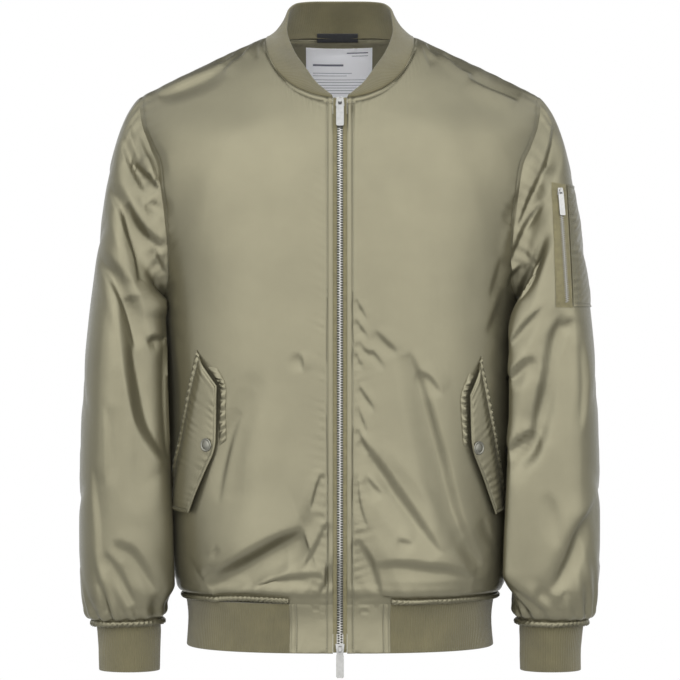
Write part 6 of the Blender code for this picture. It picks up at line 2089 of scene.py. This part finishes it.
# Light of the room by height and by depth, from -1 to 1 of the way's z and y.
ROOM_BY_HEIGHT = ((-1.0, 0.03), (-0.46, 0.03), (-0.20, 0.92), (0.48, 0.92), (0.66, 1.75), (1.0, 1.75))
ROOM_BY_DEPTH = ((-1.0, 1.0), (-0.80, 1.5), (-0.50, 1.35), (0.05, 0.95), (0.45, 1.0))
DARK_WAY = (0.0, 0.60, 0.80)           # the dark part of the room, high behind the jacket,
DARK_FROM, DARK_TO = 0.78, 0.90        # which draws the tops of the shoulders
DARK_SHARE = 0.12


def add_object(name, data):
    thing = bpy.data.objects.new(name, data)
    bpy.context.scene.collection.objects.link(thing)
    return thing


def add_camera():
    camera = bpy.data.cameras.new("camera")
    camera.sensor_width = 36.0
    camera.lens = LENS
    holder = add_object("camera", camera)
    holder.location = CAMERA
    holder.rotation_euler = (math.radians(90), 0, 0)
    bpy.context.scene.camera = holder


def add_floor():
    """A pale round sheet, well below the hem."""
    mesh = bpy.data.meshes.new("floor")
    turn = [2 * math.pi * k / FLOOR_SIDES for k in range(FLOOR_SIDES)]
    ring = [(FLOOR_RADIUS * math.cos(a), FLOOR_RADIUS * math.sin(a), FLOOR_Z) for a in turn]
    mesh.from_pydata(ring, [], [tuple(range(FLOOR_SIDES))])
    paper = Look("floor_paper", 0.85)
    paper.colours(paper.noise(3, 3), (0.3, (0.60,) * 3), (0.7, (0.63,) * 3))
    mesh.materials.append(paper.material)
    add_object("floor", mesh)


def add_room():
    """Surroundings that the camera sees as white and the jacket as a shaded room."""
    world = bpy.data.worlds.new("studio")
    bpy.context.scene.world = world
    world.use_nodes = True
    nodes, links = world.node_tree.nodes, world.node_tree.links

    def ramp(value, stops):
        spread = nodes.new("ShaderNodeMapRange")
        spread.inputs["From Min"].default_value = -1.0
        links.new(value, spread.inputs["Value"])
        node = nodes.new("ShaderNodeValToRGB")
        elements = node.color_ramp.elements
        elements.remove(elements[0])
        elements[0].position = 0.0
        elements[0].color = (*(stops[0][1],) * 3, 1)
        for place, light in stops[1:]:
            elements.new((place + 1) / 2).color = (light, light, light, 1)
        links.new(spread.outputs["Result"], node.inputs["Fac"])
        return node.outputs["Color"]

    def times(a, b):
        node = nodes.new("ShaderNodeMath")
        node.operation = "MULTIPLY"
        links.new(a, node.inputs[0])
        links.new(b, node.inputs[1])
        return node.outputs[0]

    way = nodes.new("ShaderNodeTexCoord").outputs["Generated"]
    parts = nodes.new("ShaderNodeSeparateXYZ")
    links.new(way, parts.inputs[0])
    room = times(ramp(parts.outputs["Z"], ROOM_BY_HEIGHT), ramp(parts.outputs["Y"], ROOM_BY_DEPTH))
    behind = nodes.new("ShaderNodeVectorMath")
    behind.operation = "DOT_PRODUCT"
    links.new(way, behind.inputs[0])
    behind.inputs[1].default_value = DARK_WAY
    dark = nodes.new("ShaderNodeMapRange")
    values = {"From Min": DARK_FROM, "From Max": DARK_TO, "To Min": 1.0, "To Max": DARK_SHARE}
    for socket, value in values.items():
        dark.inputs[socket].default_value = value
    links.new(behind.outputs["Value"], dark.inputs["Value"])
    seen = nodes["Background"]
    seen.inputs["Color"].default_value = (1, 1, 1, 1)
    seen.inputs["Strength"].default_value = 1.0
    lit = nodes.new("ShaderNodeBackground")
    lit.inputs["Color"].default_value = (0.96, 0.98, 1.0, 1)
    links.new(times(room, dark.outputs["Result"]), lit.inputs["Strength"])
    mix = nodes.new("ShaderNodeMixShader")
    links.new(nodes.new("ShaderNodeLightPath").outputs["Is Camera Ray"], mix.inputs["Fac"])
    links.new(lit.outputs[0], mix.inputs[1])
    links.new(seen.outputs[0], mix.inputs[2])
    links.new(mix.outputs[0], nodes["World Output"].inputs["Surface"])


def add_lights():
    for name, place, aim, size, watts in LIGHTS:
        data = bpy.data.lights.new(name, "AREA")
        data.shape = "RECTANGLE"
        data.size, data.size_y = size
        data.energy = watts
        thing = add_object(name, data)
        thing.location = place
        thing.rotation_euler = (Vector(aim) - Vector(place)).to_track_quat("-Z", "Y").to_euler()


def main():
    bpy.context.scene.view_settings.view_transform = "Standard"
    add_camera()
    add_floor()
    add_room()
    add_lights()
    cloth = build_cloth()
    add_shell(cloth)
    add_collar(cloth)
    tabs = add_hem(cloth)
    add_cuffs()
    add_zip_stitching(cloth, tabs)
    add_seam_stitching(cloth)
    add_rolled_edges(cloth)
    add_pocket(cloth, 1)
    add_pocket(cloth, -1)
    add_front_teeth()
    add_sleeve_pocket(cloth)
    lining = add_lining(cloth)
    add_label(lining)
    add_loop(cloth)
    dress_kept()


main()
bpy.context.view_layer.update()
